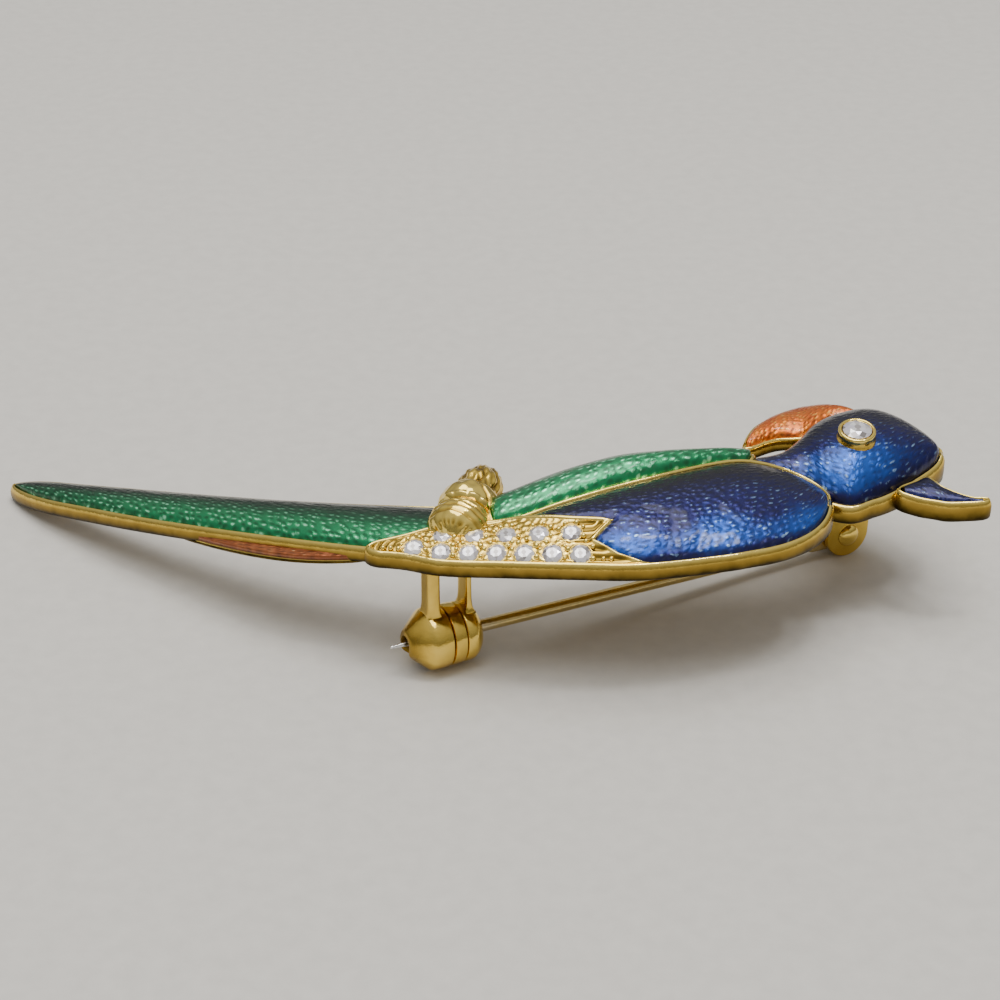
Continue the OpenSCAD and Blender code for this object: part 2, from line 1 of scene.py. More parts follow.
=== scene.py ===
import bpy
import bmesh
import math
import numpy as np
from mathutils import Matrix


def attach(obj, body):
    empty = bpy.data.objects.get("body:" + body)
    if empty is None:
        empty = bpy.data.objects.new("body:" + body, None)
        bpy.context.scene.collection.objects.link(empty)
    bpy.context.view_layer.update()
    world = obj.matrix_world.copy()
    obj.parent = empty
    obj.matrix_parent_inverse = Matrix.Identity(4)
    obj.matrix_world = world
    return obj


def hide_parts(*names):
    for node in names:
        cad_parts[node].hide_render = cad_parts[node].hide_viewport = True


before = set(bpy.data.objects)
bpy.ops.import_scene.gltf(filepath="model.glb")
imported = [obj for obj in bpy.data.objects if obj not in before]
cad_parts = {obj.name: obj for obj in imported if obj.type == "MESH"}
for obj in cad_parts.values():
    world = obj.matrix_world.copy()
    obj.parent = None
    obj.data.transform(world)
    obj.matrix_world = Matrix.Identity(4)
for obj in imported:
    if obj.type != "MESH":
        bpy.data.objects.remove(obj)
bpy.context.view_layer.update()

# ---- Table, light and camera ----
# The brooch lies back down on a pale matt table under soft studio light, and is seen low from the wing side, as in
# the photograph. It is drawn in mm in the bench frame, whose zero is the point on the table that the camera aims at.
bench_zero = np.array([1.9, 13.3509, 0])
aim = bench_zero / 1000
camera_distance, camera_elevation = 0.2, math.radians(30)


def linear(hex_colour):
    """An sRGB hex colour as linear RGBA: each channel c becomes ((c + 0.055) / 1.055) ^ 2.4 above the toe."""
    c = np.array([int(hex_colour[i:i + 2], 16) / 255 for i in (1, 3, 5)])
    c = np.where(c <= 0.04045, c / 12.92, ((c + 0.055) / 1.055) ** 2.4)
    return (*c.tolist(), 1.0)


def add(tree, kind, inputs=None, ramp=(), **settings):
    """Adds one node, by its type without "ShaderNode". Each of its inputs is a value, an output of another node, or
    another node, which stands for its first output. ramp holds a colour ramp's stops, each a place from 0 to 1 and a
    hex colour."""
    made = tree.nodes.new("ShaderNode" + kind)
    for k, (place, colour) in enumerate(ramp):
        stop = made.color_ramp.elements[k] if k < 2 else made.color_ramp.elements.new(place)
        stop.position, stop.color = place, linear(colour)
    for key, value in settings.items():
        setattr(made, key, value)
    for key, value in (inputs or {}).items():
        if isinstance(value, bpy.types.Node):
            value = value.outputs[0]
        if isinstance(value, bpy.types.NodeSocket):
            tree.links.new(value, made.inputs[key])
        else:
            made.inputs[key].default_value = value
    return made


def finish_of(name):
    """A new material and its node tree, emptied."""
    made = bpy.data.materials.new(name)
    made.use_nodes = True
    made.node_tree.nodes.clear()
    return made, made.node_tree


camera = bpy.data.objects.new("camera", bpy.data.cameras.new("camera"))
camera.data.sensor_width = 36
camera.data.lens = 87.84
camera.data.clip_start = 0.005
camera.location = aim + camera_distance * np.array([0, -math.cos(camera_elevation), math.sin(camera_elevation)])
camera.rotation_euler = (math.pi / 2 - camera_elevation, 0, 0)
bpy.context.scene.collection.objects.link(camera)
bpy.context.scene.camera = camera

# The table is covered with uncoated paper, which is matt and faintly mottled by fibres about 1.4 mm apart.
table_paper, tree = finish_of("pale_matt_table")
where = add(tree, "TexCoord").outputs["Object"]
fibre = add(tree, "TexNoise", {"Vector": where, "Scale": 700.0, "Detail": 4.0})
mottled = add(tree, "ValToRGB", {"Fac": fibre}, [(0.3, "#CFCCC7"), (0.7, "#D6D3CE")])
shader = add(tree, "BsdfPrincipled", {"Base Color": mottled, "Roughness": 0.7})
add(tree, "OutputMaterial", {"Surface": shader})
table = bpy.data.objects.new("table", bpy.data.meshes.new("table"))
corners = [(-0.9, -0.9, 0), (0.9, -0.9, 0), (0.9, 0.9, 0), (-0.9, 0.9, 0)]
table.data.from_pydata(corners, [], [(0, 1, 2, 3)])
table.data.materials.append(table_paper)
bpy.context.scene.collection.objects.link(table)

room = bpy.data.worlds.new("studio")
bpy.context.scene.world = room
room.use_nodes = True
tree = room.node_tree
background = tree.nodes["Background"]
background.inputs["Color"].default_value = linear("#E6E4DF")
direction = add(tree, "TexCoord").outputs["Generated"]
height = add(tree, "SeparateXYZ", {"Vector": direction}).outputs["Z"]
glow = add(tree, "MapRange", {"Value": height, "From Max": 0.8, "To Min": 0.22, "To Max": 0.8})
tree.links.new(glow.outputs["Result"], background.inputs["Strength"])


def softbox(name, place, size, power, tint):
    """An oval lamp of the given size, turned to face the brooch. Its place and size are in mm, from the aim point."""
    lamp = bpy.data.lights.new(name, "AREA")
    lamp.shape = "ELLIPSE"
    lamp.size, lamp.size_y = size[0] / 1000, size[1] / 1000
    lamp.energy = power
    lamp.color = linear(tint)[:3]
    made = bpy.data.objects.new(name, lamp)
    x, y, z = place
    made.location = aim + np.array(place) / 1000
    made.rotation_euler = (math.atan2(math.hypot(x, y), z), 0, math.atan2(-x, y))
    bpy.context.scene.collection.objects.link(made)


softbox("overhead_softbox", (-60, 10, 480), (560, 400), 2.0, "#FFFDF8")
softbox("window_left", (60, -30, 440), (60, 70), 0.24, "#FFFFFF")
softbox("window_right", (170, -20, 430), (80, 60), 0.28, "#FFFFFF")
softbox("front_fill", (-110, -360, 340), (560, 260), 1.35, "#FFF5E2")
softbox("back_panel", (-60, 430, 300), (640, 240), 0.5, "#F8F8FA")

# ---- The casting's trays ----
# The bird is one lost-wax brass casting, gold plated, made of shallow trays with a raised rim each. All trays
# follow lines drawn along the bird, from its tail on the left to its crest on the right.
back_height = 8.3
tail_root = np.array([-4.0, -20.7])
tail_length = 36.1
tail_start = tail_root[0] - tail_length


def through(table, column, s):
    """A smooth curve through one column of a table of places: cubic between two places, with the slope of
    each place taken from its two neighbours, and flat before the first and after the last."""
    x, y = table[:, 0], table[:, column]
    k = np.arange(len(x))
    a, b = np.maximum(k - 1, 0), np.minimum(k + 1, len(x) - 1)
    slope = (y[b] - y[a]) / (x[b] - x[a])
    i = np.clip(np.searchsorted(x, s, side="right") - 1, 0, len(x) - 2)
    h = x[i + 1] - x[i]
    u = np.clip((s - x[i]) / h, 0, 1)
    return ((1 + 2 * u) * (1 - u) ** 2 * y[i] + u * u * (3 - 2 * u) * y[i + 1]
            + h * u * (1 - u) ** 2 * slope[i] - h * u * u * (1 - u) * slope[i + 1])


def rounded(distance, radius):
    """1 away from an end and a quarter circle down to 0 at it."""
    return np.sqrt(np.maximum(0, 1 - (1 - np.clip(distance / radius, 0, 1)) ** 2))


class Tray:
    """A tray of the casting. At a place x along the bird it has a near and a far edge, a height at each, and an
    arched top: base + wall + crown * share * end rounding ^ 0.6 * (1 - |v| ^ 2.5), where v runs from -1 at the near
    edge to 1 at the far edge. line is the middle line, or the near edge where near_line is set, and shift moves it
    to the far side. Each row of the table is a place as a share of the length, and the shares of the shift, the
    width, the near and the far height and the crown there. A tray behind another starts just under its far edge."""

    def __init__(self, start, length, width, wall, crown, ends, table, line, height, shift=0, near_line=False,
                 behind=None):
        self.start, self.length, self.width, self.wall, self.crown = start, length, width, wall, crown
        self.table, self.end_radii, self.line, self.height = np.array(table, float), ends, line, height
        self.table[:, 1] *= shift
        self.near_line, self.behind = near_line, behind

    def column(self, c, x):
        return through(self.table, c, (x - self.start) / self.length)

    def ends(self, x):
        return (rounded(np.maximum(0, x - self.start), self.end_radii[0])
                * rounded(np.maximum(0, self.start + self.length - x), self.end_radii[1]))

    def sides(self, x):
        least_half, overlap, softness = 0.12, 0.35, 0.7
        middle = self.line(x) + (self.width * self.column(2, x) if self.near_line else self.column(1, x))
        half = np.maximum(least_half, self.width * self.column(2, x) * self.ends(x))
        near, far = middle - half, middle + half
        if self.behind is not None:
            front = self.behind.edge(x, 1) - overlap
            near = np.minimum((near + front + np.hypot(near - front, softness)) / 2, far - 2 * least_half)
        return near, far

    def edge(self, x, side):
        near, far = self.sides(x)
        return (near + far + side * (far - near)) / 2

    def base(self, x, v):
        near, far = self.height(x, self.column(3, x), self.column(4, x))
        return near + (far - near) * (1 + v) / 2

    def across(self, x, y):
        near, far = self.sides(x)
        return np.clip((2 * y - near - far) / (far - near), -1, 1)

    def top(self, x, y):
        v = self.across(x, y)
        return (self.base(x, v) + self.wall
                + self.crown * self.column(5, x) * self.ends(x) ** 0.6 * (1 - np.abs(v) ** 2.5))


def tail_line(x):
    """The tail's middle line: from its root it bends to the far side with the 1.4th power of the way to its tip."""
    s = np.clip((x - tail_start) / tail_length, 0, 1)
    return tail_root[1] + 21 * (1 - s) ** 1.4


def root_line(x):
    """A straight line along the bird through the tail's root."""
    return tail_root[1] + 0 * x


def drooping(x, near, far):
    """Heights that droop to the table with the 1.35th power of the way to the tail's tip."""
    s = np.clip((x - tail_start) / tail_length, 0, 1)
    height = back_height * (1 - (1 - s) ** 1.35)
    return height * near, height * far


def level(x, near, far):
    """Heights that are shares of the back's height."""
    return back_height * near, back_height * far


tail = Tray(tail_start, tail_length + 2.5, width=7.2, wall=1.1, crown=0.8, ends=(5, 0.4), table=[
    (0, 0, 0.24, 1, 1, 0.3), (0.13, 0, 0.27, 1, 1, 0.6), (0.3, 0, 0.34, 1, 1, 0.8),
    (0.6, 0, 0.42, 1, 1, 1), (0.85, 0, 0.48, 1, 1, 0.9), (1, 0, 0.5, 1, 1, 0.6)],
    line=tail_line, height=drooping)
feather = Tray(tail_root[0] - 20.6, 17, width=2.8, wall=0.7, crown=0.1, ends=(8, 0.6), table=[
    (0, 0.25, 0.34, 0.985, 0.985, 1), (0.5, 0.13, 0.41, 0.985, 0.985, 1), (0.8, 0.38, 0.38, 0.985, 0.985, 1),
    (1, 0.8, 0.25, 0.985, 0.985, 1)], shift=2.8, line=lambda x: tail.edge(x, -1), height=drooping)
wing = Tray(tail_root[0] - 5.8, 34.3, width=10.6, wall=1, crown=1.2, ends=(1.2, 6.5), table=[
    (0, -0.4, 0.07, 0.95, 0.97, 0.2), (0.08, -0.44, 0.115, 0.97, 1.04, 0.3), (0.155, -0.48, 0.195, 0.988, 1.09, 0.4),
    (0.286, -0.573, 0.222, 1.024, 1.15, 0.5), (0.43, -0.518, 0.325, 1.066, 1.275, 0.7),
    (0.583, -0.364, 0.434, 1.084, 1.337, 0.95), (0.76, 0, 0.5, 1.078, 1.337, 1),
    (0.83, 0.14, 0.495, 1.07, 1.3, 1), (1, 0.43, 0.495, 1.036, 1.084, 1)],
    shift=5.5, line=root_line, height=level)
body = Tray(tail_root[0] + 2.85, 20.4, width=6.5, wall=0.8, crown=2.2, ends=(0.6, 0.8), table=[
    (0, 0, 0.38, 1, 1.04, 0.5), (0.235, 0, 0.5, 1, 1.03, 0.78), (0.466, 0, 0.486, 1, 1.03, 1),
    (0.627, 0, 0.42, 1, 1.03, 0.96), (0.83, 0, 0.33, 1, 1.03, 0.76), (1, 0, 0.3, 1, 1.03, 0.55)],
    line=lambda x: wing.edge(np.minimum(x, wing.start + wing.length - 5), 1) - 0.4, near_line=True,
    height=lambda x, near, far: (wing.base(x, 0.75) + 0.2, back_height * far))
head = Tray(body.start + 19.55, 15.4, width=13.2, wall=1, crown=3.8, ends=(1, 5.5), table=[
    (0, 0.652, 0.163, 1.11, 1, 0.4), (0.169, 0.711, 0.186, 1.1, 1, 0.44), (0.266, 0.789, 0.277, 1.04, 1, 0.58),
    (0.364, 0.853, 0.417, 1, 1, 0.82), (0.494, 0.892, 0.5, 1, 1, 0.97), (0.623, 0.966, 0.481, 1, 1, 0.98),
    (0.753, 1, 0.42, 1, 1, 0.88), (0.883, 0.99, 0.334, 1, 1, 0.74), (1, 0.95, 0.25, 1, 1, 0.6)],
    shift=10.2, line=root_line, height=level)
beak = Tray(head.start + 0.3, 10.4, width=5.4, wall=0.85, crown=0.9, ends=(1.6, 1.5), table=[
    (0, 0.77, 0.25, 0.98, 0.98, 0.5), (0.125, 0.864, 0.32, 0.98, 0.98, 0.8), (0.27, 0.935, 0.389, 0.99, 0.98, 1),
    (0.413, 0.97, 0.481, 1, 0.99, 1), (0.51, 0.979, 0.519, 1.01, 1, 1), (0.7, 1.024, 0.37, 1.02, 1, 1),
    (0.894, 0.988, 0.19, 1.03, 1.02, 0.9), (1, 0.932, 0.1, 1, 1, 0.5)],
    shift=16.9, line=root_line, height=level, behind=head)
crest = Tray(head.start + 10.9, 7, width=4.4, wall=1.5, crown=0.5, ends=(0.6, 0.8), table=[
    (0, 0.451, 0.1, 1.03, 1.03, 0.4), (0.243, 0.475, 0.307, 1, 1.03, 0.8), (0.386, 0.495, 0.43, 1, 1.02, 1),
    (0.53, 0.4, 0.29, 1, 1.02, 0.8), (0.8, 0.319, 0.14, 1.02, 1.02, 0.5), (1, 0.319, 0.12, 1.03, 1.03, 0.4)],
    shift=10.2, line=root_line, height=level)


def outline(t, inset):
    """The tray's outline moved inwards by inset: the near edge and the far edge at the same stations, which are
    close together at both ends. Each point moves along the outline's own normal, and where the two edges would
    cross, both run down their middle."""
    end_gap, count = 0.05, 150
    x = t.start + end_gap + (t.length - 2 * end_gap) * (1 - np.cos(np.pi * np.arange(count + 1) / count)) / 2
    loop = np.concatenate([np.stack([x, t.edge(x, -1)], 1), np.stack([x, t.edge(x, 1)], 1)[::-1]])
    along = np.roll(loop, -1, 0) - np.roll(loop, 1, 0)
    along /= np.linalg.norm(along, axis=1)[:, None]
    moved = loop + inset * np.stack([-along[:, 1], along[:, 0]], 1)
    near, far = moved[:count + 1].copy(), moved[count + 1:][::-1].copy()
    crossed = near[:, 1] > far[:, 1]
    middle = (near + far) / 2
    near[crossed], far[crossed] = middle[crossed], middle[crossed]
    return near, far


def sheet_faces(rows, columns, start):
    """The quads of a grid of rows by columns of points, numbered from start."""
    i, j = np.meshgrid(np.arange(rows - 1), np.arange(columns - 1), indexing="ij")
    corner = start + i * columns + j
    return np.stack([corner, corner + columns, corner + columns + 1, corner + 1], -1).reshape(-1, 4)


def close_up(mesh, weld):
    """Welds a mesh where its points lie within weld mm, drops faces of no size, and turns the others outwards."""
    work = bmesh.new()
    work.from_mesh(mesh)
    bmesh.ops.remove_doubles(work, verts=work.verts, dist=weld / 1000)
    bmesh.ops.dissolve_degenerate(work, edges=work.edges, dist=1e-8)
    bmesh.ops.recalc_face_normals(work, faces=work.faces)
    work.to_mesh(mesh)
    work.free()


def settle(name, mesh, finish, rides_on, node):
    """Gives a mesh its finish and its object, hangs it on the body that it rides on, and hides the CAD node that it
    stands for.
    """
    mesh.materials.append(finish)
    made = bpy.data.objects.new(name, mesh)
    bpy.context.scene.collection.objects.link(made)
    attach(made, rides_on)
    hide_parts(node)
    return made


def piece(name, sheets, finish, rides_on, slot, node, values, caps=(), uv=None, weld=2e-4):
    """Makes a piece from grids of points in mm, each rows x columns x 3 in the bench frame, and from caps, flat faces
    of points by their numbers. All are welded where they meet. values holds the numbers that the finish reads, and
    uv each point's place on the surface in mm: both are lists with one entry for each grid."""
    points = np.concatenate([s.reshape(-1, 3) for s in sheets])
    faces, start = [], 0
    for s in sheets:
        faces += sheet_faces(s.shape[0], s.shape[1], start).tolist()
        start += s.shape[0] * s.shape[1]
    mesh = bpy.data.meshes.new(name)
    mesh.from_pydata(((points + bench_zero) / 1000).tolist(), [], faces + list(caps))
    for key, grids in values.items():
        numbers = np.concatenate([np.broadcast_to(g, s.shape[:2]).ravel() for g, s in zip(grids, sheets)])
        mesh.attributes.new(key, "FLOAT", "POINT").data.foreach_set("value", numbers.astype(np.float32))
    if uv is not None:
        corner = np.zeros(len(mesh.loops), int)
        mesh.loops.foreach_get("vertex_index", corner)
        places = np.concatenate([g.reshape(-1, 2) for g in uv]).astype(np.float32)
        mesh.uv_layers.new(name="grain").data.foreach_set("uv", places[corner].ravel())
    close_up(mesh, weld)
    mesh.shade_smooth()
    return settle(name, mesh, finish, rides_on, node)


# Gold plate on cast brass: mirror bright and pale where fingers rub it, on the rims, and dull and pitted on the back.
# The walls are painted darker and brown down to their foot, as painted shade. Cast skin is not flat: it ripples every
# 0.6 mm and has fine polishing lines.
gold_plate, tree = finish_of("polished_gold_plate")
where = add(tree, "TexCoord").outputs["Object"]
wear_and_shade = add(tree, "Attribute", attribute_name="wear_and_shade").outputs["Fac"]
blotch = add(tree, "TexNoise", {"Vector": where, "Scale": 900.0, "Detail": 3.0})
mixed = add(tree, "Math", {0: blotch, 1: 0.3, 2: wear_and_shade}, operation="MULTIPLY_ADD")
shifted = add(tree, "Math", {0: mixed, 1: 0.15}, operation="SUBTRACT", use_clamp=True)
# wear_and_shade runs this ramp from polished gold to dark brown; its dark end on the tray walls is painted shade
gold = add(tree, "ValToRGB", {"Fac": shifted}, [
    (0.0, "#FBDF7A"), (0.3, "#EBC75C"), (0.6, "#A8893A"), (1.0, "#33290D")])
rough = add(tree, "MapRange", {"Value": shifted, "To Min": 0.1, "To Max": 0.4})
ripple = add(tree, "TexNoise", {"Vector": where, "Scale": 1600.0, "Detail": 2.0})
brushed = add(tree, "Mapping", {"Vector": where, "Scale": (900.0, 9000.0, 9000.0)})
lines = add(tree, "TexNoise", {"Vector": brushed, "Scale": 1.0, "Detail": 2.0})
skin = add(tree, "Math", {0: lines, 1: 0.18, 2: ripple}, operation="MULTIPLY_ADD")
bumps = add(tree, "Bump", {"Height": skin, "Distance": 0.00012, "Strength": 0.22})
shader = add(tree, "BsdfPrincipled", {"Base Color": gold, "Roughness": rough, "Normal": bumps, "Metallic": 1.0})
add(tree, "OutputMaterial", {"Surface": shader})


def gold_piece(name, sheets, wear_and_shade, rides_on="brooch", node="casting", **more):
    """A piece in gold plate. wear_and_shade gives each sheet its value, from 0 for polished to 1 for dull and brown;
    on the tray walls the high values are painted shade.
    """
    return piece(name, sheets, gold_plate, rides_on, "gold_plate", node, {"wear_and_shade": wear_and_shade}, **more)


ridge_inset = 0.32


def ridge_heights(t, lift=0.0):
    """Height of the rim's ridge over its near and its far points: the tray's top at the ridge, raised by lift."""
    return [t.top(edge[:, 0], edge[:, 1]) + lift for edge in outline(t, ridge_inset)]


def cast_tray(name, t, slim=1.0, lift=0.0, hollow=True):
    """A tray: a profile of wall and rounded rim carried round the outline, closed by the cell's floor and by a back
    that is hollowed to a skin of 0.8 mm. slim scales the rim's width on a small tray. Each point of the profile has
    its inset from the outline and its height: from the back, half way up, or from the rim's ridge."""
    profile = [(0.5, "back", 0.0), (0.28, "base", 0.02), (0.13, "base", 0.1), (0.04, "base", 0.24), (0.0, "half", 0.0),
               (0.01, "rim", -0.5), (0.045, "rim", -0.36), (0.1, "rim", -0.22), (0.17, "rim", -0.1),
               (0.25, "rim", -0.03), (ridge_inset, "rim", 0.0), (0.39, "rim", -0.03), (0.44, "rim", -0.1),
               (0.48, "rim", -0.22), (0.5, "rim", -0.45)]
    # wear_and_shade_of: the rim's top is polished (0) and the back dull (0.62); the wall is painted darker from half
    # way up (0.85) to its foot (1.0), as painted shade
    wear_and_shade_of = {"back": 0.62, "base": 1.0, "half": 0.85, "rim": 0.0}
    floor_depth, back_depth = 0.65, 1.45
    ridges = ridge_heights(t, lift)
    rings, worn_and_shaded = [], []
    for inset, kind, z in profile:
        sides = []
        for edge, ridge in zip(outline(t, inset * slim), ridges):
            low = t.base(edge[:, 0], t.across(edge[:, 0], edge[:, 1]))
            height, least = {"back": (low, 0), "base": (low + z, z), "half": (low * 0.45 + (ridge - 0.5) * 0.55, 0.05),
                             "rim": (ridge + z * min(1, slim * 1.4), 0.05)}[kind]
            sides.append(np.column_stack([edge, np.maximum(height, low + least)]))
        rings.append(np.concatenate([sides[0], sides[1][::-1], sides[0][:1]]))
        # the rim's outer face is painted darker the further it falls below the ridge, as painted shade
        outside = kind == "rim" and inset < ridge_inset
        worn_and_shaded.append(wear_and_shade_of[kind] + (0.6 * min(1, -z / 0.5) ** 1.5 if outside else 0))
    rings = np.array(rings)
    n = rings.shape[1] // 2
    sheets, wear_and_shade_values = [rings], [np.array(worn_and_shaded)[:, None]]
    for k, depth, slope, dull in ((-1, floor_depth, 0.8, 0.5), (0, back_depth, 1.6, 0.62)):
        near, far = rings[k, :n], rings[k, n:2 * n][::-1]
        w = np.linspace(0, 1, 25)[:, None]
        fill = near[:, None] * (1 - w) + far[:, None] * w
        u = np.abs(2 * w[:, 0] - 1)
        inwards = (1 - u) * np.linalg.norm(far - near, axis=1)[:, None]
        room_up = np.maximum(0, t.top(fill[..., 0], fill[..., 1]) - depth - fill[..., 2])
        rise = room_up * np.clip(inwards / slope, 0, 1) ** 0.5
        if k == -1:
            fill[..., 2] += rise
        elif hollow:
            fill[..., 2] += rise * (1 - u ** 8)
        sheets.append(fill)
        wear_and_shade_values.append(dull)
    gold_piece(name, sheets, wear_and_shade_values)


cast_tray("tail_casting", tail)
cast_tray("lower_feather_casting", feather, slim=0.5, lift=-0.42, hollow=False)
cast_tray("belly_casting", body)
cast_tray("wing_casting", wing, lift=0.2)
cast_tray("head_casting", head, lift=0.08)
cast_tray("beak_casting", beak, slim=0.8, hollow=False)
cast_tray("crest_casting", crest, slim=0.8, hollow=False)

# ---- Enamel fills ----
# See-through enamel, poured and fired in each tray over a floor that is stippled in rows. The floor's glitter through
# it is painted into the colour as light dashes, and most fills are painted lighter towards their near rim, as light
# and shade. It swells a little over its rim and has a wet, glassy skin.
fill_inset = 0.46


def enamel_finish(name, deep, middle, light, glint, rows, glints, mottle=0.2):
    """See-through enamel over a hammered metal floor: dents laid in rows, rows[0] x rows[1] mm apart. The near side of
    each dent has a painted highlight, a short stroke in the glint colour, and the other side is painted darker as
    shade. The colour runs from deep to light with the fill's tone_and_light and a mottle, and a smooth clear coat
    lies over the relief. glints is the share of the surface where the painted highlights show."""
    made, tree = finish_of(name)
    uv = add(tree, "UVMap", uv_map="grain")
    tone_and_light = add(tree, "Attribute", attribute_name="tone_and_light").outputs["Fac"]
    waver = add(tree, "TexNoise", {"Vector": uv, "Scale": 0.55, "Detail": 2.0}).outputs["Color"]
    drift = add(tree, "VectorMath", {0: waver, 1: (0.9, 0.6, 0.0), 2: uv}, operation="MULTIPLY_ADD")
    mounds = []
    for shift in (0.0, 0.30):
        laid = add(tree, "Mapping", {"Vector": drift, "Location": (0.1 * shift, -shift, 0.0),
                                     "Scale": (1 / rows[0], 1 / rows[1], 1.0)})
        cells = add(tree, "TexVoronoi", {"Vector": laid, "Scale": 1.0, "Randomness": 0.7}, voronoi_dimensions="2D")
        mounds.append(add(tree, "MapRange", {"Value": cells, "From Max": 0.6, "To Min": 1.0, "To Max": 0.0},
                          interpolation_type="SMOOTHSTEP"))
    # Painted highlight and shade: a dent's mound minus the same mound shifted is positive on one side of the dent,
    # which gets a light dash, and negative on the other, which is painted darker.
    side = add(tree, "Math", {0: mounds[0], 1: mounds[1]}, operation="SUBTRACT")
    painted_dash = add(tree, "MapRange", {"Value": side, "From Min": 0.27, "From Max": 0.6})
    shade = add(tree, "MapRange", {"Value": side, "From Min": -0.6, "From Max": 0.1, "To Min": 0.55})
    spotty = add(tree, "TexNoise", {"Vector": uv, "Scale": 1.3, "Detail": 3.0, "Roughness": 0.7})
    lucky = add(tree, "MapRange", {"Value": spotty, "From Min": 0.72 - 0.45 * glints, "From Max": 0.86 - 0.4 * glints})
    cloud = add(tree, "TexNoise", {"Vector": uv, "Scale": 0.8, "Detail": 5.0, "Roughness": 0.65})
    # tone_and_light holds the fill's colour with its painted light and shade; the mottle is the enamel's own
    cloudy = add(tree, "Math", {0: cloud, 1: mottle * 2, 2: tone_and_light}, operation="MULTIPLY_ADD")
    depth = add(tree, "Math", {0: cloudy, 1: mottle}, operation="SUBTRACT", use_clamp=True)
    colour = add(tree, "ValToRGB", {"Fac": depth}, [(0.0, deep), (0.45, middle), (1.0, light)])
    dimmed = add(tree, "VectorMath", {0: colour, 3: shade}, operation="SCALE")
    # the painted highlights show only where the fill is light, and only in the patches that lucky picks
    lit = add(tree, "MapRange", {"Value": depth, "From Min": 0.15, "From Max": 0.6})
    share = add(tree, "Math", {0: painted_dash, 1: lucky}, operation="MULTIPLY")
    share = add(tree, "Math", {0: share, 1: lit}, operation="MULTIPLY")
    glinting = add(tree, "Mix", {0: share, 6: dimmed, 7: linear(glint)}, data_type="RGBA").outputs[2]
    grit = add(tree, "TexNoise", {"Vector": uv, "Scale": 6.0, "Detail": 2.0})
    relief = add(tree, "Math", {0: grit, 1: 0.3, 2: mounds[0]}, operation="MULTIPLY_ADD")
    floor = add(tree, "Bump", {"Height": relief, "Distance": 0.00008, "Strength": 0.55})
    flow = add(tree, "TexNoise", {"Vector": uv, "Scale": 0.5, "Detail": 1.0})
    skin = add(tree, "Bump", {"Height": flow, "Distance": 0.0005, "Strength": 0.4})
    shader = add(tree, "BsdfPrincipled", {
        "Base Color": glinting, "Metallic": 0.6, "Roughness": 0.32, "Normal": floor,
        "Coat Weight": 0.42, "Coat Roughness": 0.12, "Coat IOR": 1.5, "Coat Normal": skin})
    add(tree, "OutputMaterial", {"Surface": shader})
    return made


def slab(top, thickness, *fields):
    """A closed sheet: the top grid, the same grid lowered by thickness, and a strip round its four sides. Fields
    are numbers at the grid's points, and each comes back as a list with its numbers for every sheet."""
    under = top - [0, 0, thickness]
    sides = [(slice(None), 0), (slice(None), -1), (0, slice(None)), (-1, slice(None))]
    sheets = [top, under] + [np.stack([top[k], under[k]]) for k in sides]
    return sheets, [[f, f] + [np.stack([f[k], f[k]]) for k in sides] for f in fields]


def enamel(name, t, finish, slot, node, first, last, tone_and_light, slim=1.0, puff=0.22, sink=None):
    """The fill: spans from the near to the far inner rim at the stations from first to last. Its height is the
    tray's top plus a swell of 4 w (1 - w) puff, it dips to the rim over the last 0.16 mm as a meniscus, and sink
    lowers it where something lies on it. tone_and_light runs from 0 for deep to 1 for light colour: it holds the
    enamel's own colour and, in most fills, painted light and shade."""
    columns, thickness, meniscus, below_ridge = 40, 0.35, 0.16, 0.1
    near, far = (edge[first:last + 1] for edge in outline(t, fill_inset * slim))
    w = (1 - np.cos(np.pi * np.arange(columns + 1) / columns)) / 2
    w = (0.5 * w + 0.5 * np.linspace(0, 1, columns + 1))[:, None]
    plan = near[:, None] * (1 - w) + far[:, None] * w
    x, y = plan[..., 0], plan[..., 1]
    w = w[:, 0] + 0 * x
    span = np.linalg.norm(far - near, axis=1)[:, None]
    height = t.top(x, y) + puff * 4 * w * (1 - w) * np.clip(span / 2, 0, 1)
    for k, side, ridge in zip((0, -1), (w, 1 - w), ridge_heights(t)):
        dip = np.minimum(0, ridge[first:last + 1, None] - below_ridge - t.top(x[:, [k]], y[:, [k]]))
        height = height + dip * np.exp(-(side * span / meniscus) ** 2)
    if sink is not None:
        height = height + sink(x, y)
    steps = np.linalg.norm(np.diff((near + far) / 2, axis=0), axis=1)
    along = np.concatenate([[0], np.cumsum(steps)])[:, None] + 0 * w
    sheets, (uv, tones_and_light) = slab(np.stack([x, y, height], -1), thickness, np.stack([along, w * span + 3], -1),
                               np.clip(tone_and_light(x, y, w), 0, 1))
    piece(name, sheets, finish, "brooch", slot, node, {"tone_and_light": tones_and_light}, uv=uv)


def soft_step(a, b, x):
    """0 below a, 1 above b, and 3 t^2 - 2 t^3 between."""
    t = np.clip((x - a) / (b - a), 0, 1)
    return t * t * (3 - 2 * t)


# The last colour of each enamel is its painted glint, the colour of the light dashes painted on the floor's dents.
green_enamel = enamel_finish("green_enamel", "#031E17", "#075C38", "#20A86A", "#96F0C0", rows=(0.66, 0.52), glints=0.75)
# The tail is painted lighter by its near rim and darker to its far rim, as light and shade, and darkens towards its
# tip.
enamel("tail_enamel", tail, green_enamel, "green_enamel", "enamel_tail", first=2, last=140,
       tone_and_light=lambda x, y, w: 0.72 - 0.72 * soft_step(0.15, 0.8, w) - 0.25 * soft_step(-26, -38, x))
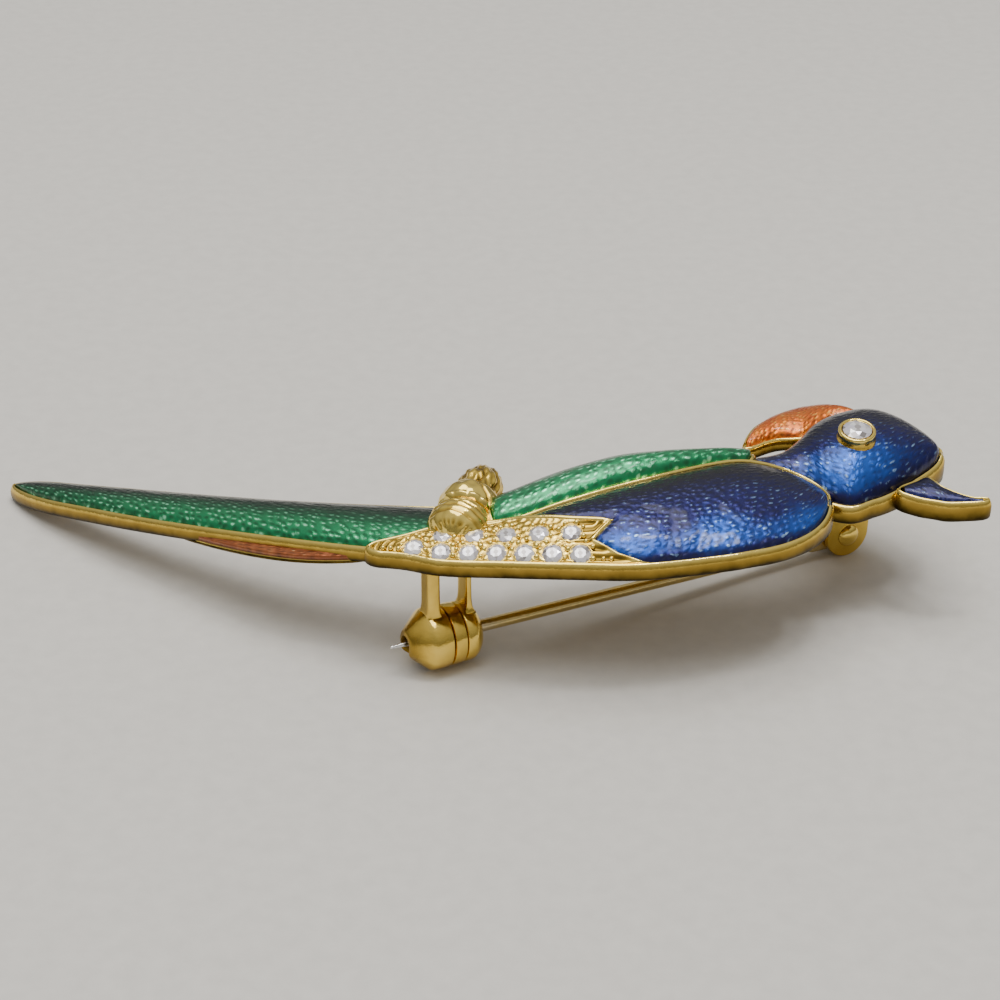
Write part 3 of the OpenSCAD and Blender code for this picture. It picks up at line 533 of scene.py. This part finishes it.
# The belly is painted lighter by its near rim and darker to its far rim, as light and shade, and a little darker
# towards the head.
enamel("belly_enamel", body, green_enamel, "green_enamel", "enamel_belly", first=3, last=148,
       tone_and_light=lambda x, y, w: 0.8 - 0.75 * soft_step(0.3, 0.85, w) - 0.15 * soft_step(9, 18, x),
       sink=lambda x, y: -1.0 * (1 - rounded(np.maximum(0, x - body.start - 0.1), 1.4)))

# The zigzag border between the paved tip and the blue cell: the far line, the upper spike's tip, the valley and
# the lower spike's tip, measured on the wing's plan.
zigzag = np.array([(-2.4, -21.3), (1.2, -21.75), (2.6, -22.25), (5.0, -22.95), (8.1, -23.55),
                   (6.7, -25.15), (8.4, -26.25), (10.6, -26.95)])
upper_tip, valley = 4, 5


def over_border(x, y):
    """Distance in mm from the zigzag border: positive on the blue side and negative on the paved side."""
    best = np.full(x.shape, 1e9)
    for a, b in zip(zigzag[:-1], zigzag[1:]):
        d = b - a
        u = np.clip(((x - a[0]) * d[0] + (y - a[1]) * d[1]) / (d @ d), 0, 1)
        best = np.minimum(best, np.hypot(x - a[0] - u * d[0], y - a[1] - u * d[1]))
    ring = np.concatenate([zigzag, [(10.6, -40), (-30, -40), (-30, -20)]])
    inside = np.zeros(x.shape, bool)
    for a, b in zip(ring, np.roll(ring, -1, 0)):
        crosses = (a[1] > y) != (b[1] > y)
        inside ^= crosses & (x < a[0] + (b[0] - a[0]) * (y - a[1]) / (b[1] - a[1] + 1e-12))
    return np.where(inside, -best, best)


# The blue's last colour is its painted glint.
blue_enamel = enamel_finish("blue_enamel", "#040414", "#050A58", "#125CC6", "#A6CEFA", rows=(0.6, 0.46), glints=0.5)


def wing_tone_and_light(x, y, w):
    """Navy at the far rim, ultramarine in the middle and azure near the near rim: this run across the wing is painted
    light and shade. The azure bands along its near half are the enamel's own colour, and it is darker at the very near
    edge.
    """
    return (0.78 - 0.34 * soft_step(0.1, 0.34, w) - 0.42 * soft_step(0.4, 0.85, w) - 0.4 * soft_step(0.1, 0.0, w)
            + 0.12 * np.sin(x * 0.9) * soft_step(0.5, 0.2, w))


def under_paving(x, y):
    """The blue fill sinks by 0.08 mm along the paved tip's border, and by 0.4 mm more under it."""
    return -0.08 * soft_step(0.25, 0, over_border(x, y)) - 0.4 * soft_step(0.03, -0.12, over_border(x, y))


def head_tone_and_light(x, y, w):
    """Navy, with an azure patch that fades over 3.2 mm to each side, below the eye and above the near rim. The near
    part is also painted lighter, as light, and it is darker at the very near edge.
    """
    return (0.08 + 0.36 * soft_step(0.65, 0.3, w) - 0.3 * soft_step(0.06, 0.0, w)
            + 0.65 * np.exp(-((x - 26.0) / 3.2) ** 2 - ((w - 0.16) / 0.12) ** 2))


enamel("wing_enamel", wing, blue_enamel, "blue_enamel", "enamel_wing", first=44, last=149, tone_and_light=wing_tone_and_light, puff=0.26,
       sink=under_paving)
enamel("head_enamel", head, blue_enamel, "blue_enamel", "enamel_head", first=3, last=149, tone_and_light=head_tone_and_light)
# The crest is painted lighter by its near rim and darker to its far rim, as light and shade.
enamel("crest_enamel", crest, blue_enamel, "blue_enamel", "enamel_crest", first=25, last=122, slim=0.8, puff=0.1,
       tone_and_light=lambda x, y, w: 0.42 - 0.45 * w)

# The orange's last colour is its painted glint.
orange_enamel = enamel_finish("orange_enamel", "#7E2E02", "#CC5A06", "#F08E16", "#FFC65C", rows=(0.5, 0.4), glints=0.6,
                              mottle=0.45)
# The beak's far half is painted darker, as shade.
enamel("beak_enamel", beak, orange_enamel, "orange_enamel", "enamel_beak", first=4, last=146, slim=0.8,
       tone_and_light=lambda x, y, w: 0.6 - 0.3 * soft_step(0.5, 1.0, w))

# The copper's last colour is its painted glint.
copper_enamel = enamel_finish("copper_brown_enamel", "#4A2412", "#9A5228", "#C98248", "#E8B27C", rows=(0.9, 0.3),
                              glints=0.4, mottle=0.4)
enamel("lower_feather_enamel", feather, copper_enamel, "copper_enamel", "enamel_tail_feather", first=12, last=146,
       slim=0.06, puff=0.05, tone_and_light=lambda x, y, w: 0.5 + 0 * x)

# ---- Paved wing tip ----
# Cast gold, pebbled between the stones, with two long spikes laid over the blue cell and a bright
# raised border. Each crystal sits in a turned cup, held by grains raised from the metal.


def pebbles(x, y, size):
    """A pebbled skin from 0 to 1: crossed waves of the given size in mm, folded so that they make round grains."""
    k = 2 * np.pi / size
    wave_x = np.sin(k * x * 0.5 + 1.3 * np.sin(k * y * 0.23))
    wave_y = np.sin(k * y * 0.5 + 1.1 * np.sin(k * x * 0.19))
    return np.abs(wave_x * wave_y) ** 0.6


paved_x = np.linspace(-9.45, 10.55, 170)
near_inner, far_inner = outline(wing, fill_inset)
low = np.interp(paved_x, near_inner[:, 0], near_inner[:, 1])
high = np.minimum(np.interp(paved_x, far_inner[:, 0], far_inner[:, 1]),
                  np.interp(paved_x, *zigzag[:valley].T, left=0))
valley_x, valley_y = zigzag[valley]
split = (low + high) / 2 + (valley_y - (low + high) / 2) * soft_step(-6, valley_x, paved_x)
lower_top = np.where(paved_x < valley_x, split, np.interp(paved_x, *zigzag[valley:].T))
upper_low = np.where(paved_x < valley_x, split, np.interp(paved_x, *zigzag[[valley, upper_tip]].T))
# each spike is fluted along its length; before it the metal is pebbled, with curls round its left end
for name, from_y, to_y, end, flutes_shift in (("lower_paved_spike", low, lower_top, 10.55, 0),
                                              ("upper_paved_spike", upper_low, high, 8.05, 0.4)):
    keep = paved_x <= end
    w = np.linspace(0, 1, 33)[None, :]
    y = from_y[keep, None] * (1 - w) + np.maximum(to_y, from_y + 0.03)[keep, None] * w
    x = paved_x[keep, None] + 0 * y
    d = -over_border(x, y)
    flutes = 0.07 * np.cos(2 * np.pi * (y - from_y[keep, None]) / 0.62) * soft_step(3.5, 6.5, x + flutes_shift)
    reach = np.hypot(x + 6.6, (y + 23.6) * 1.2)
    curls = 0.08 * np.cos(2 * np.pi * reach / 0.5) * (1 - soft_step(-8.0, -7.2, x))
    grains = 0.12 * pebbles(x, y, 0.55) * (1 - soft_step(4.5, 6.5, x)) * soft_step(-7.8, -7.0, x) + curls
    border = 0.2 * np.exp(-((d - 0.16) / 0.15) ** 2) * soft_step(-3.5, -1.5, x)
    z = wing.top(x, y) + 0.02 + (grains + flutes) * soft_step(0.2, 0.4, np.abs(d)) + border
    worn_and_shaded = np.clip(0.62 - 5.5 * (grains + flutes - 0.02) - 3.0 * border, 0, 0.8)
    sheets, (worn_and_shaded,) = slab(np.stack([x, y, z], -1), 0.55, worn_and_shaded)
    gold_piece(name, sheets, worn_and_shaded)


def lidded(rings, centres):
    """A bar's rings, and a lid on each of its two ends: a fan from the end ring to its centre."""
    return [rings] + [np.stack([rings[k], np.broadcast_to(centres[k], rings[k].shape)]) for k in (0, -1)]


# The far line of the paved tip is a bright cord of gold from the toes to the upper spike: a circle carried along
# the line, square to it, that thins towards the spike's tip.
line_x = np.linspace(-2.6, 8.1, 60)
line_y = np.interp(line_x, *zigzag[:valley].T) - 0.08
path = np.stack([line_x, line_y, wing.top(line_x, line_y) + 0.1], 1)
radius = (0.2 * np.clip((8.35 - line_x) / 1.2, 0.35, 1))[:, None, None]
along = np.gradient(path, axis=0)
along /= np.linalg.norm(along, axis=1)[:, None]
across = np.cross(along, [0, 0, 1.0])
across /= np.linalg.norm(across, axis=1)[:, None]
a = np.linspace(0, 2 * np.pi, 15)[None, :, None]
rings = path[:, None] + radius * (np.cos(a) * across[:, None] + np.sin(a) * np.cross(across, along)[:, None])
gold_piece("paved_far_border", lidded(rings, path), [0.05, 0.05, 0.05])

# Seven crystals stand in a row along the near rim, and five in a second row behind them.
stone_size, stone_lift = 1.5, 0.02
row_x = np.concatenate([wing.start + 3.6 + 1.98 * np.arange(7), wing.start + 5.65 + 2.3 * np.arange(5)])
row_y = wing.edge(row_x, -1) + np.where(np.arange(12) < 7, 1.0, 2.66)


def turn_by(angle, i, j):
    """The matrix of a turn by an angle from axis i towards axis j."""
    made = np.eye(3)
    made[i, i] = made[j, j] = math.cos(angle)
    made[j, i], made[i, j] = math.sin(angle), -math.sin(angle)
    return made


def stand_on(t, x, y, up):
    """The turn and place that set a piece square on a tray's top at x, y, raised by up along its normal."""
    step = 0.2
    dx = (t.top(x + step, y) - t.top(x - step, y)) / (2 * step)
    dy = (t.top(x, y + step) - t.top(x, y - step)) / (2 * step)
    turn = turn_by(-math.atan(dx), 2, 0) @ turn_by(math.atan(dy), 1, 2)
    return turn, np.array([x, y, float(t.top(x, y))]) + turn[:, 2] * up


def turned_rings(profile, turns):
    """A profile of (radius, height) turned about the z axis: a grid of profile points by turns."""
    a = np.linspace(0, 2 * np.pi, turns + 1)
    r, z = np.array(profile, float).T
    return np.stack([r[:, None] * np.cos(a), r[:, None] * np.sin(a), z[:, None] + 0 * a], -1)


cup = turned_rings([(0, -0.45), (0.93, -0.45), (0.92, -0.12), (0.89, -0.02), (0.85, 0.03), (0.81, 0.04), (0.775, 0.02),
                    (0.76, -0.04), (0.5, -0.3), (0, -0.4)], 28)
cup_wear = np.array([0.8, 0.8, 0.7, 0.45, 0.2, 0.2, 0.5, 0.8, 0.9, 0.9])[:, None]
seats = [stand_on(wing, x, y, stone_lift) for x, y in zip(row_x, row_y)]
gold_piece("stone_cups", [cup @ turn.T + place for turn, place in seats], [cup_wear] * len(seats))

# Grains between the stones: eight round each stone, a row along the near rim and a row between the two rows of
# stones. Those that would touch a stone, the border, a rim or another grain are left out.
angles = np.radians([25, 65, 115, 155, 205, 245, 295, 335])
round_stones = np.stack([row_x, row_y], 1)[:, None] + 0.96 * np.stack([np.cos(angles), np.sin(angles)], 1)
rim_x, middle_x = np.arange(-8.4, 9.4, 0.56), np.arange(-7.2, 6.0, 0.6)
spots = np.concatenate([round_stones.reshape(-1, 2), np.stack([rim_x, wing.edge(rim_x, -1) + 0.7], 1),
                        np.stack([middle_x, wing.edge(middle_x, -1) + 1.82], 1)])
from_stone = np.hypot(spots[:, None, 0] - row_x, spots[:, None, 1] - row_y).min(1)
inside = ((over_border(spots[:, 0], spots[:, 1]) < -0.4) & (spots[:, 1] < wing.edge(spots[:, 0], 1) - 0.6)
          & (spots[:, 1] > wing.edge(spots[:, 0], -1) + 0.68))
kept = []
for spot in spots[(from_stone > 0.9) & inside]:
    if all(np.hypot(*(spot - other)) > 0.32 for other in kept):
        kept.append(spot)
kept = np.array(kept)
grain = turned_rings([(0, 1.0), (0.5, 0.87), (0.87, 0.5), (1, 0), (0.9, -0.45), (0, -0.6)], 12)
size = np.random.default_rng(7).uniform(0.16, 0.25, len(kept))
grain_places = np.column_stack([kept, wing.top(kept[:, 0], kept[:, 1]) + 0.06])
grains = grain * size[:, None, None, None] + grain_places[:, None, None]
gold_piece("setting_grains", list(grains), [0.08] * len(grains), weld=1e-3)

# ---- Crystals ----
# Foiled glass brilliants with a flat table, 8 kites, 8 stars and 16 break facets over a narrow girdle. How light
# or dark each face looks, the reflection that the foil and the pavilion throw back, is painted into its colour:
# white and grey, with sharp dark faces.
crystal, tree = finish_of("foiled_crystal")
facet_light = add(tree, "Attribute", attribute_name="facet_light").outputs["Fac"]
painted_facet_light = add(tree, "ValToRGB", {"Fac": facet_light}, [
    (0.0, "#2E2B2C"), (0.25, "#A39C9C"), (0.5, "#F1EDED"), (0.75, "#E9E4F4"), (1.0, "#FFFFFF")])
shader = add(tree, "BsdfPrincipled", {"Base Color": painted_facet_light, "Metallic": 0.6, "Roughness": 0.12, "Coat Weight": 1.0,
                                      "Coat Roughness": 0.01, "Coat IOR": 1.58})
add(tree, "OutputMaterial", {"Surface": shader})


def brilliant(name, node, diameter, turn, place, seed):
    """A brilliant of the given diameter, joined face by face from rings of points: 8 at the table's bevel, 8 at the
    crown, 16 over and 16 under the girdle, 8 at the pavilion, the culet, and 8 round the table. Each face gets a
    painted reflection, a random brightness of its own, and the table and its bevels get the dark and light ones of
    a foiled stone."""
    r = diameter / 2

    def ring(count, radius, height, shift):
        a = 2 * np.pi * (np.arange(count) + shift) / count
        return np.stack([radius * np.cos(a), radius * np.sin(a), height + 0 * a], 1) * r

    points = np.concatenate([
        ring(8, 0.56, 0.30, 0.5), ring(8, 0.80, 0.19, 0), ring(16, 1, 0.05, 0), ring(16, 1, -0.05, 0),
        ring(8, 0.5, -0.40, 0), [[0, 0, -0.72 * r]], ring(8, 0.24, 0.30, 0.5)]) @ turn.T + place
    crown, girdle, under_girdle, pavilion, culet, flat = 8, 16, 32, 48, 56, 57
    faces = [list(range(flat, flat + 8))]
    faces += [[k, (k + 1) % 8, flat + (k + 1) % 8, flat + k] for k in range(8)]
    for k in range(8):
        n, g, g1, g2 = (k + 1) % 8, 2 * k, (2 * k + 1) % 16, (2 * k + 2) % 16
        faces += [[k, (k - 1) % 8, crown + k], [girdle + g1, crown + n, k, crown + k],
                  [crown + k, girdle + g, girdle + g1], [crown + n, girdle + g1, girdle + g2],
                  [under_girdle + g, pavilion + k, under_girdle + g1],
                  [under_girdle + g1, pavilion + k, pavilion + n, under_girdle + g2],
                  [pavilion + k, culet, pavilion + n]]
    faces += [[girdle + k, under_girdle + k, under_girdle + (k + 1) % 16, girdle + (k + 1) % 16] for k in range(16)]
    mesh = bpy.data.meshes.new(name)
    mesh.from_pydata(((points + bench_zero) / 1000).tolist(), [], faces)
    close_up(mesh, 2e-4)
    # Painted reflections: a random brightness for each face, and a given run of dark and light for the table and its
    # bevels.
    tones_and_light = np.random.default_rng(seed).uniform(0.1, 1.0, len(mesh.polygons)) ** 0.8
    tones_and_light[:9] = [0.3, 0.9, 0.4, 1.0, 0.7, 0.95, 0.35, 0.9, 0.6]
    mesh.attributes.new("facet_light", "FLOAT", "FACE").data.foreach_set("value", tones_and_light.astype(np.float32))
    mesh.shade_flat()
    settle(name, mesh, crystal, "brooch", node)


for k, (turn, place) in enumerate(seats):
    brilliant("crystal_%02d" % (k + 1), "stone_%02d" % (k + 1), stone_size, turn, place, seed=k)

# ---- Eye ----
# A larger crystal in a plain turned bezel that stands 0.8 mm over the head.
eye_x = head.start + 8.2
eye_turn, eye_place = stand_on(head, eye_x, float(head.edge(np.array(eye_x), 0)) - 1.7, 0)
bezel = turned_rings([
    (0, -0.8), (1.5, -0.8), (1.5, -0.1), (1.44, 0.06), (1.38, 0.16), (1.38, 0.5), (1.41, 0.6), (1.4, 0.72),
    (1.33, 0.8), (1.24, 0.82), (1.17, 0.78), (1.13, 0.68), (1.12, 0.5), (0.7, 0.1), (0, 0)], 72)
bezel_wear = np.array([0.6, 0.6, 0.5, 0.5, 0.5, 0.3, 0.1, 0, 0, 0, 0.1, 0.3, 0.6, 0.7, 0.7])[:, None]
gold_piece("eye_bezel", [bezel @ eye_turn.T + eye_place], [bezel_wear])
brilliant("eye_crystal", "eye_stone", 2.2, eye_turn, eye_place + 0.74 * eye_turn[:, 2], seed=31)

# ---- Feet and perch ----
# Two bands of toes grip a short twig that stands across the tail's root. Cast with the bird; the toes are polished
# and have claw notches and wrinkles, and the twig keeps its rough bark.
perch_place = np.array([-2.9, -21.0, 9.8])
perch_turn = turn_by(math.radians(76), 0, 1)
perch_from, perch_length = -2.2, 9.6
# each row: a place as a share of the length, the radius's share, and how much the toes swell there
perch_profile = np.array([
    (0, 0.45, 0), (0.03, 0.9, 0), (0.1, 1, 0.7), (0.2, 1, 1), (0.3, 1, 0.75), (0.35, 1, 0.3), (0.4, 1, 0.7),
    (0.48, 1, 1), (0.58, 1, 0.75), (0.63, 1, 0), (0.72, 0.9, 0), (0.82, 1, 0), (0.92, 0.88, 0), (1, 0.7, 0)], float)
s = np.linspace(0, 1, 181)[:, None]
a = np.linspace(0, 2 * np.pi, 145)[None, :]
radius = 1.7 * through(perch_profile, 1, s) + 0.65 * through(perch_profile, 2, s) + 0 * a
twig = soft_step(0.6, 0.66, s)
bark = (0.15 * np.abs(np.sin(4.5 * a + 1.5 * np.sin(14 * s) + np.sin(2 * a))) ** 0.7 - 0.1
        + 0.05 * np.sin(17 * a + 9 * s) * np.sin(40 * s + 2 * a))


def ridge_at(place, width):
    """A bell-shaped ridge round the toes: exp(-((s - place) / width) ^ 2)."""
    return np.exp(-((s - place) / width) ** 2)


wrinkles = sum(-0.1 * ridge_at(place + 0.03 * np.sin(a + 1.2), 0.012) for place in (0.1, 0.165, 0.225, 0.28))
notches = -0.14 * (0.5 + 0.5 * np.cos(23 * a + 2 * np.sin(5 * a))) * ridge_at(0.034, 0.012)
nuggets = 0.2 * (0.5 + 0.5 * np.cos(13 * a + 0.5)) ** 0.5 * ridge_at(0.385, 0.017) - 0.3 * ridge_at(0.345, 0.017)
toe_lines = 0.08 * ridge_at(0.625, 0.012) - 0.12 * ridge_at(0.6, 0.009)
toe_lines = toe_lines - 0.22 * np.exp(-((a - 2.2 + 4 * (s - 0.48)) / 0.07) ** 2) * soft_step(0.36, 0.42, s)
carving = (1 - twig) * (wrinkles + notches + nuggets + toe_lines)
uneven = 0.04 * np.sin(6 * a + 20 * s) * np.sin(33 * s + a) + 0.02 * np.sin(13 * a - 35 * s)
radius = radius + twig * bark + carving + (1 - twig) * uneven
along, flat_under = perch_length * s + perch_from + 0 * a, np.maximum(-1.2, radius * np.sin(a))
perch = np.stack([along, radius * np.cos(a), flat_under], -1) @ perch_turn.T + perch_place
ends = [perch_turn @ [x, 0, 0] + perch_place for x in (perch_from, perch_from + perch_length)]
worn_and_shaded = np.clip(0.05 + 0.4 * twig - 3 * twig * bark - 4 * np.minimum(0, carving), 0, 0.95)
gold_piece("feet_on_perch", lidded(perch, ends), [worn_and_shaded, 0.5, 0.5])

# ---- Safety catch and its posts ----
# A barrel catch turned from brass in two slotted halves, soldered to the back on two posts, with a slotted disc that
# turns between them and locks the pin's point in.
hinge_at = np.array([26.76, -7.62378, 1.85])
pin_run = 35.0874
pin_drop = 0.9
pin_turn, pin_tilt = math.radians(27.5455), math.asin(1.4 / pin_run)
to_pin = turn_by(pin_turn, 0, 1) @ turn_by(pin_tilt, 2, 0)


def from_hinge(points):
    """From the pin's own frame, with x along the pin and its pivot at 0, to the bench frame."""
    return points @ to_pin.T + hinge_at


def from_catch(points):
    """From the catch's own frame, with x along the pin and the middle of its bore at 0, to the bench frame."""
    return from_hinge(points + [-pin_run, 0, -pin_drop])


def sharpen(made, degrees=40):
    """Keeps a turned piece's edges crisp where its faces meet at more than the given angle."""
    made.data.set_sharp_from_angle(angle=math.radians(degrees))


def slotted(name, profile, wear_and_shade=(0.25, 0.6), **more):
    """A turned piece with a slot of 1.3 mm cut down from its bore: each profile point (x, radius) sweeps the angle
    that the slot leaves, from asin(half slot / radius) on one side round to the other. Both slot walls are closed
    flat. wear_and_shade holds the values for the outside and for the bore, which is within 1.3 mm of the pin."""
    half_slot, turns = 0.65, 96
    x, r = np.array(profile + profile[:1], float).T
    from_a = np.arcsin(np.clip(half_slot / r, 0, 1))[:, None]
    a = from_a + (2 * np.pi - 2 * from_a) * np.linspace(0, 1, turns + 1)
    grid = np.stack([x[:, None] + 0 * a, r[:, None] * np.sin(a), -r[:, None] * np.cos(a)], -1)
    walls = [[k * (turns + 1) + j for k in range(len(profile))] for j in (0, turns)]
    worn_and_shaded = np.where(r > 1.3, *wear_and_shade)[:, None]
    sharpen(gold_piece(name, [from_catch(grid)], [worn_and_shaded], caps=walls, **more))


slotted("catch_nose_half", [
    (-2.85, 0.65), (-2.85, 0.8), (-2.82, 0.92), (-2.74, 1.04), (-2.65, 1.14), (-1.4, 2.2), (-1.25, 2.3),
    (-1.05, 2.35), (-0.06, 2.35), (0.04, 2.32), (0.1, 2.22), (0.1, 1.55), (-0.7, 1.55), (-0.7, 0.65)])
slotted("catch_tail_half", [
    (2.05, 0.65), (2.05, 1.55), (1.25, 1.55), (1.25, 2.1), (1.29, 2.2), (1.37, 2.25), (1.95, 2.25),
    (2.12, 2.2), (2.4, 2.0), (2.62, 1.75), (2.78, 1.45), (2.85, 1.2), (2.85, 0.65)])
slotted("catch_disc", [
    (-0.6, 0.65), (-0.6, 1.48), (-0.58, 1.5), (0.2, 1.5), (0.2, 2.2), (0.24, 2.28), (0.34, 2.3), (1.01, 2.3),
    (1.11, 2.28), (1.15, 2.2), (1.15, 1.5), (1.93, 1.5), (1.95, 1.48), (1.95, 0.65)],
    wear_and_shade=(0.3, 0.3), rides_on="rotor", node="catch_rotor")


def catch_post(name, x0, x1):
    """A soldered post: rounded oblong sections (a superellipse of power 5) from the catch up into the wing's skin,
    flared by 0.3 mm at its foot where the solder ran. It runs from x0 to x1 along the pin."""
    half_y, low, flare_by, into_skin = 0.8, 4.2, 0.3, 0.9
    a = np.linspace(0, 2 * np.pi, 49)[None, :]
    middle = from_hinge(np.array([(x0 + x1) / 2, 0, 0]))
    z = np.linspace(low, float(wing.top(middle[0], middle[1])) - into_skin, 30)[:, None]
    flare = flare_by * np.exp(-(z - low) / 0.35) + 0 * a
    c, sn = np.cos(a), np.sin(a)
    size = (np.abs(c) ** 5 + np.abs(sn) ** 5) ** (-1 / 5)
    spread = [(x0 + x1) / 2 + ((x1 - x0) / 2 + flare) * c * size, (half_y + flare) * sn * size]
    plan = from_hinge(np.stack([*spread, 0 * spread[0]], -1))
    rings = np.concatenate([plan[..., :2], (z + 0 * a)[..., None]], -1)
    worn_and_shaded = 0.3 + 0.3 * np.exp(-(z - low) / 0.3)
    gold_piece(name, lidded(rings, rings[:, :-1].mean(1)), [worn_and_shaded, 0.6, 0.6])


catch_post("catch_post_wide", -pin_run - 1.25, -pin_run - 0.3)
catch_post("catch_post_narrow", -pin_run + 1.75, -pin_run + 2.2)

# ---- Hinge and pin ----
# Two cast ears under the head carry a domed rivet; the pin is drawn steel wire with a thin gold wash, flattened to an
# eye at the rivet and ground to a long point, where the wash is worn off.
ear_radius, ear_middle, into_head = 1.85, 0.91, 0.9
# the ear's bevelled edge: how far it is drawn in, and its place across the ear's thickness
ear_profile = [(0.12, 0.35), (0.05, 0.33), (0.0, 0.25), (0.0, -0.25), (0.05, -0.33), (0.12, -0.35)]
for side, name in ((-1, "hinge_ear_near"), (1, "hinge_ear_far")):
    # the round end about the rivet, and two sides that widen a little and rise into the head's skin
    a = np.linspace(-np.pi, 0, 49)
    arc = ear_radius * np.stack([np.cos(a), np.sin(a)], 1)
    rise = np.linspace(0, 1, 25)[1:, None]
    over = from_hinge(np.array([[2, side * 1.26, 0], [-2, side * 1.26, 0]]))
    tall = head.top(over[:, 0], over[:, 1]) - into_head - over[:, 2]
    right = np.array([ear_radius, 0]) + rise * [0.15, tall[0]]
    left = np.array([-ear_radius, 0]) + rise[::-1] * [-0.15, tall[1]]
    loop = np.concatenate([arc, right, left])
    rings = []
    for inset, y in ear_profile:
        scale = 1 - inset / ear_radius
        rings.append(np.stack([loop[:, 0] * scale, np.full(len(loop), y + side * ear_middle),
                               loop[:, 1] * np.where(loop[:, 1] < 0, scale, 1)], 1))
    rings = np.array(rings)
    rings = np.concatenate([rings, rings[:, :1]], 1)
    centres = [[0, ring[0, 1], 1.0] for ring in rings]
    sharpen(gold_piece(name, [from_hinge(g) for g in lidded(rings, centres)], [0.3, 0.3, 0.3]))

rivet = turned_rings([(0, -1.73), (0.3, -1.71), (0.6, -1.62), (0.82, -1.47), (0.9, -1.3), (0.6, -1.28), (0.6, 1.28),
                      (0.9, 1.3), (0.82, 1.47), (0.6, 1.62), (0.3, 1.71), (0, 1.73)], 72)[..., [0, 2, 1]]
sharpen(gold_piece("domed_rivet", [from_hinge(rivet)], [0.15], node="hinge_rivet"), 50)

# Drawn steel wire with a gold wash: satin, with fine lines along it, and bare grey steel where the wash has gone.
pin_wire, tree = finish_of("gold_washed_steel_wire")
where = add(tree, "TexCoord").outputs["Object"]
wear_and_shade = add(tree, "Attribute", attribute_name="wear_and_shade").outputs["Fac"]
spots = add(tree, "TexNoise", {"Vector": where, "Scale": 1500.0, "Detail": 3.0})
mixed = add(tree, "Math", {0: spots, 1: 0.3, 2: wear_and_shade}, operation="MULTIPLY_ADD")
washed = add(tree, "ValToRGB", {"Fac": mixed}, [(0.1, "#DFC680"), (0.55, "#C8B893"), (0.95, "#E2E2E2")])
along_pin = add(tree, "Mapping", {"Vector": where, "Rotation": (0.0, 0.0, -pin_turn),
                                  "Scale": (300.0, 9000.0, 9000.0)})
drawn = add(tree, "TexNoise", {"Vector": along_pin, "Scale": 1.0, "Detail": 2.0})
lines = add(tree, "Bump", {"Height": drawn, "Distance": 0.00003, "Strength": 0.4})
shader = add(tree, "BsdfPrincipled", {"Base Color": washed, "Metallic": 1.0, "Roughness": 0.24, "Normal": lines})
add(tree, "OutputMaterial", {"Surface": shader})

# The stem: a circle carried along the wire, whose radius falls from the taper's start to the point with the 0.85th
# power of the way left. The point stands 1.2 mm out of the barrel's end.
wire_radius, point_radius = 0.475, 0.1
tip, taper_start, neck = -pin_run - 2.85 - 1.2, -31.64, -0.9
x = np.concatenate([
    [tip, tip + 0.02, tip + 0.06], np.linspace(tip + 0.15, taper_start, 40), np.linspace(-31, neck, 60)])
way = np.clip((x - tip) / (taper_start - tip), 0, 1)
r = np.where(x < taper_start, point_radius + (wire_radius - point_radius) * way ** 0.85, wire_radius)
r[:2] = (0.0, 0.06)
a = np.linspace(0, 2 * np.pi, 33)[None, :]
stem = np.stack([x[:, None] + 0 * a, r[:, None] * np.cos(a), -pin_drop + r[:, None] * np.sin(a)], -1)
stem_end = np.stack([stem[-1], np.broadcast_to([neck, 0, -pin_drop], stem[-1].shape)])
# The eye: seen along the rivet, a round of 1.4 mm about it, drawn out to the neck's round as a teardrop. Its
# section, from the bore to that outline, is a rounded oblong (a superellipse of power 4).
eye_radius, bore_radius, neck_radius, half_thick = 1.4, 0.65, 0.52, 0.5
a = np.linspace(0, 2 * np.pi, 73)
facing = np.stack([np.cos(a), np.sin(a)], 1)
neck_at = np.array([-2.7, -pin_drop])
in_round = (eye_radius > facing @ neck_at + neck_radius)[:, None]
rim = np.where(in_round, eye_radius * facing, neck_at + neck_radius * facing)
t = np.linspace(0, 2 * np.pi, 25)[:, None]
u = ((1 + np.sign(np.cos(t)) * np.abs(np.cos(t)) ** 0.5) / 2)[..., None]
flat_eye = bore_radius * facing * (1 - u) + rim * u
thick = half_thick * np.sign(np.sin(t)) * np.abs(np.sin(t)) ** 0.5 + 0 * a
loop_eye = np.stack([flat_eye[..., 0], thick, flat_eye[..., 1]], -1)
# On the pin, wear_and_shade is wear alone: the gold wash goes to bare steel towards the point.
worn_and_shaded = np.clip((-30 - stem[..., 0]) / 7, 0, 1) ** 0.7
piece("pin", [from_hinge(g) for g in (stem, stem_end, loop_eye)], pin_wire, "pin", "pin_wire", "pin_stem",
      {"wear_and_shade": [worn_and_shaded, 0.1, 0.15]})
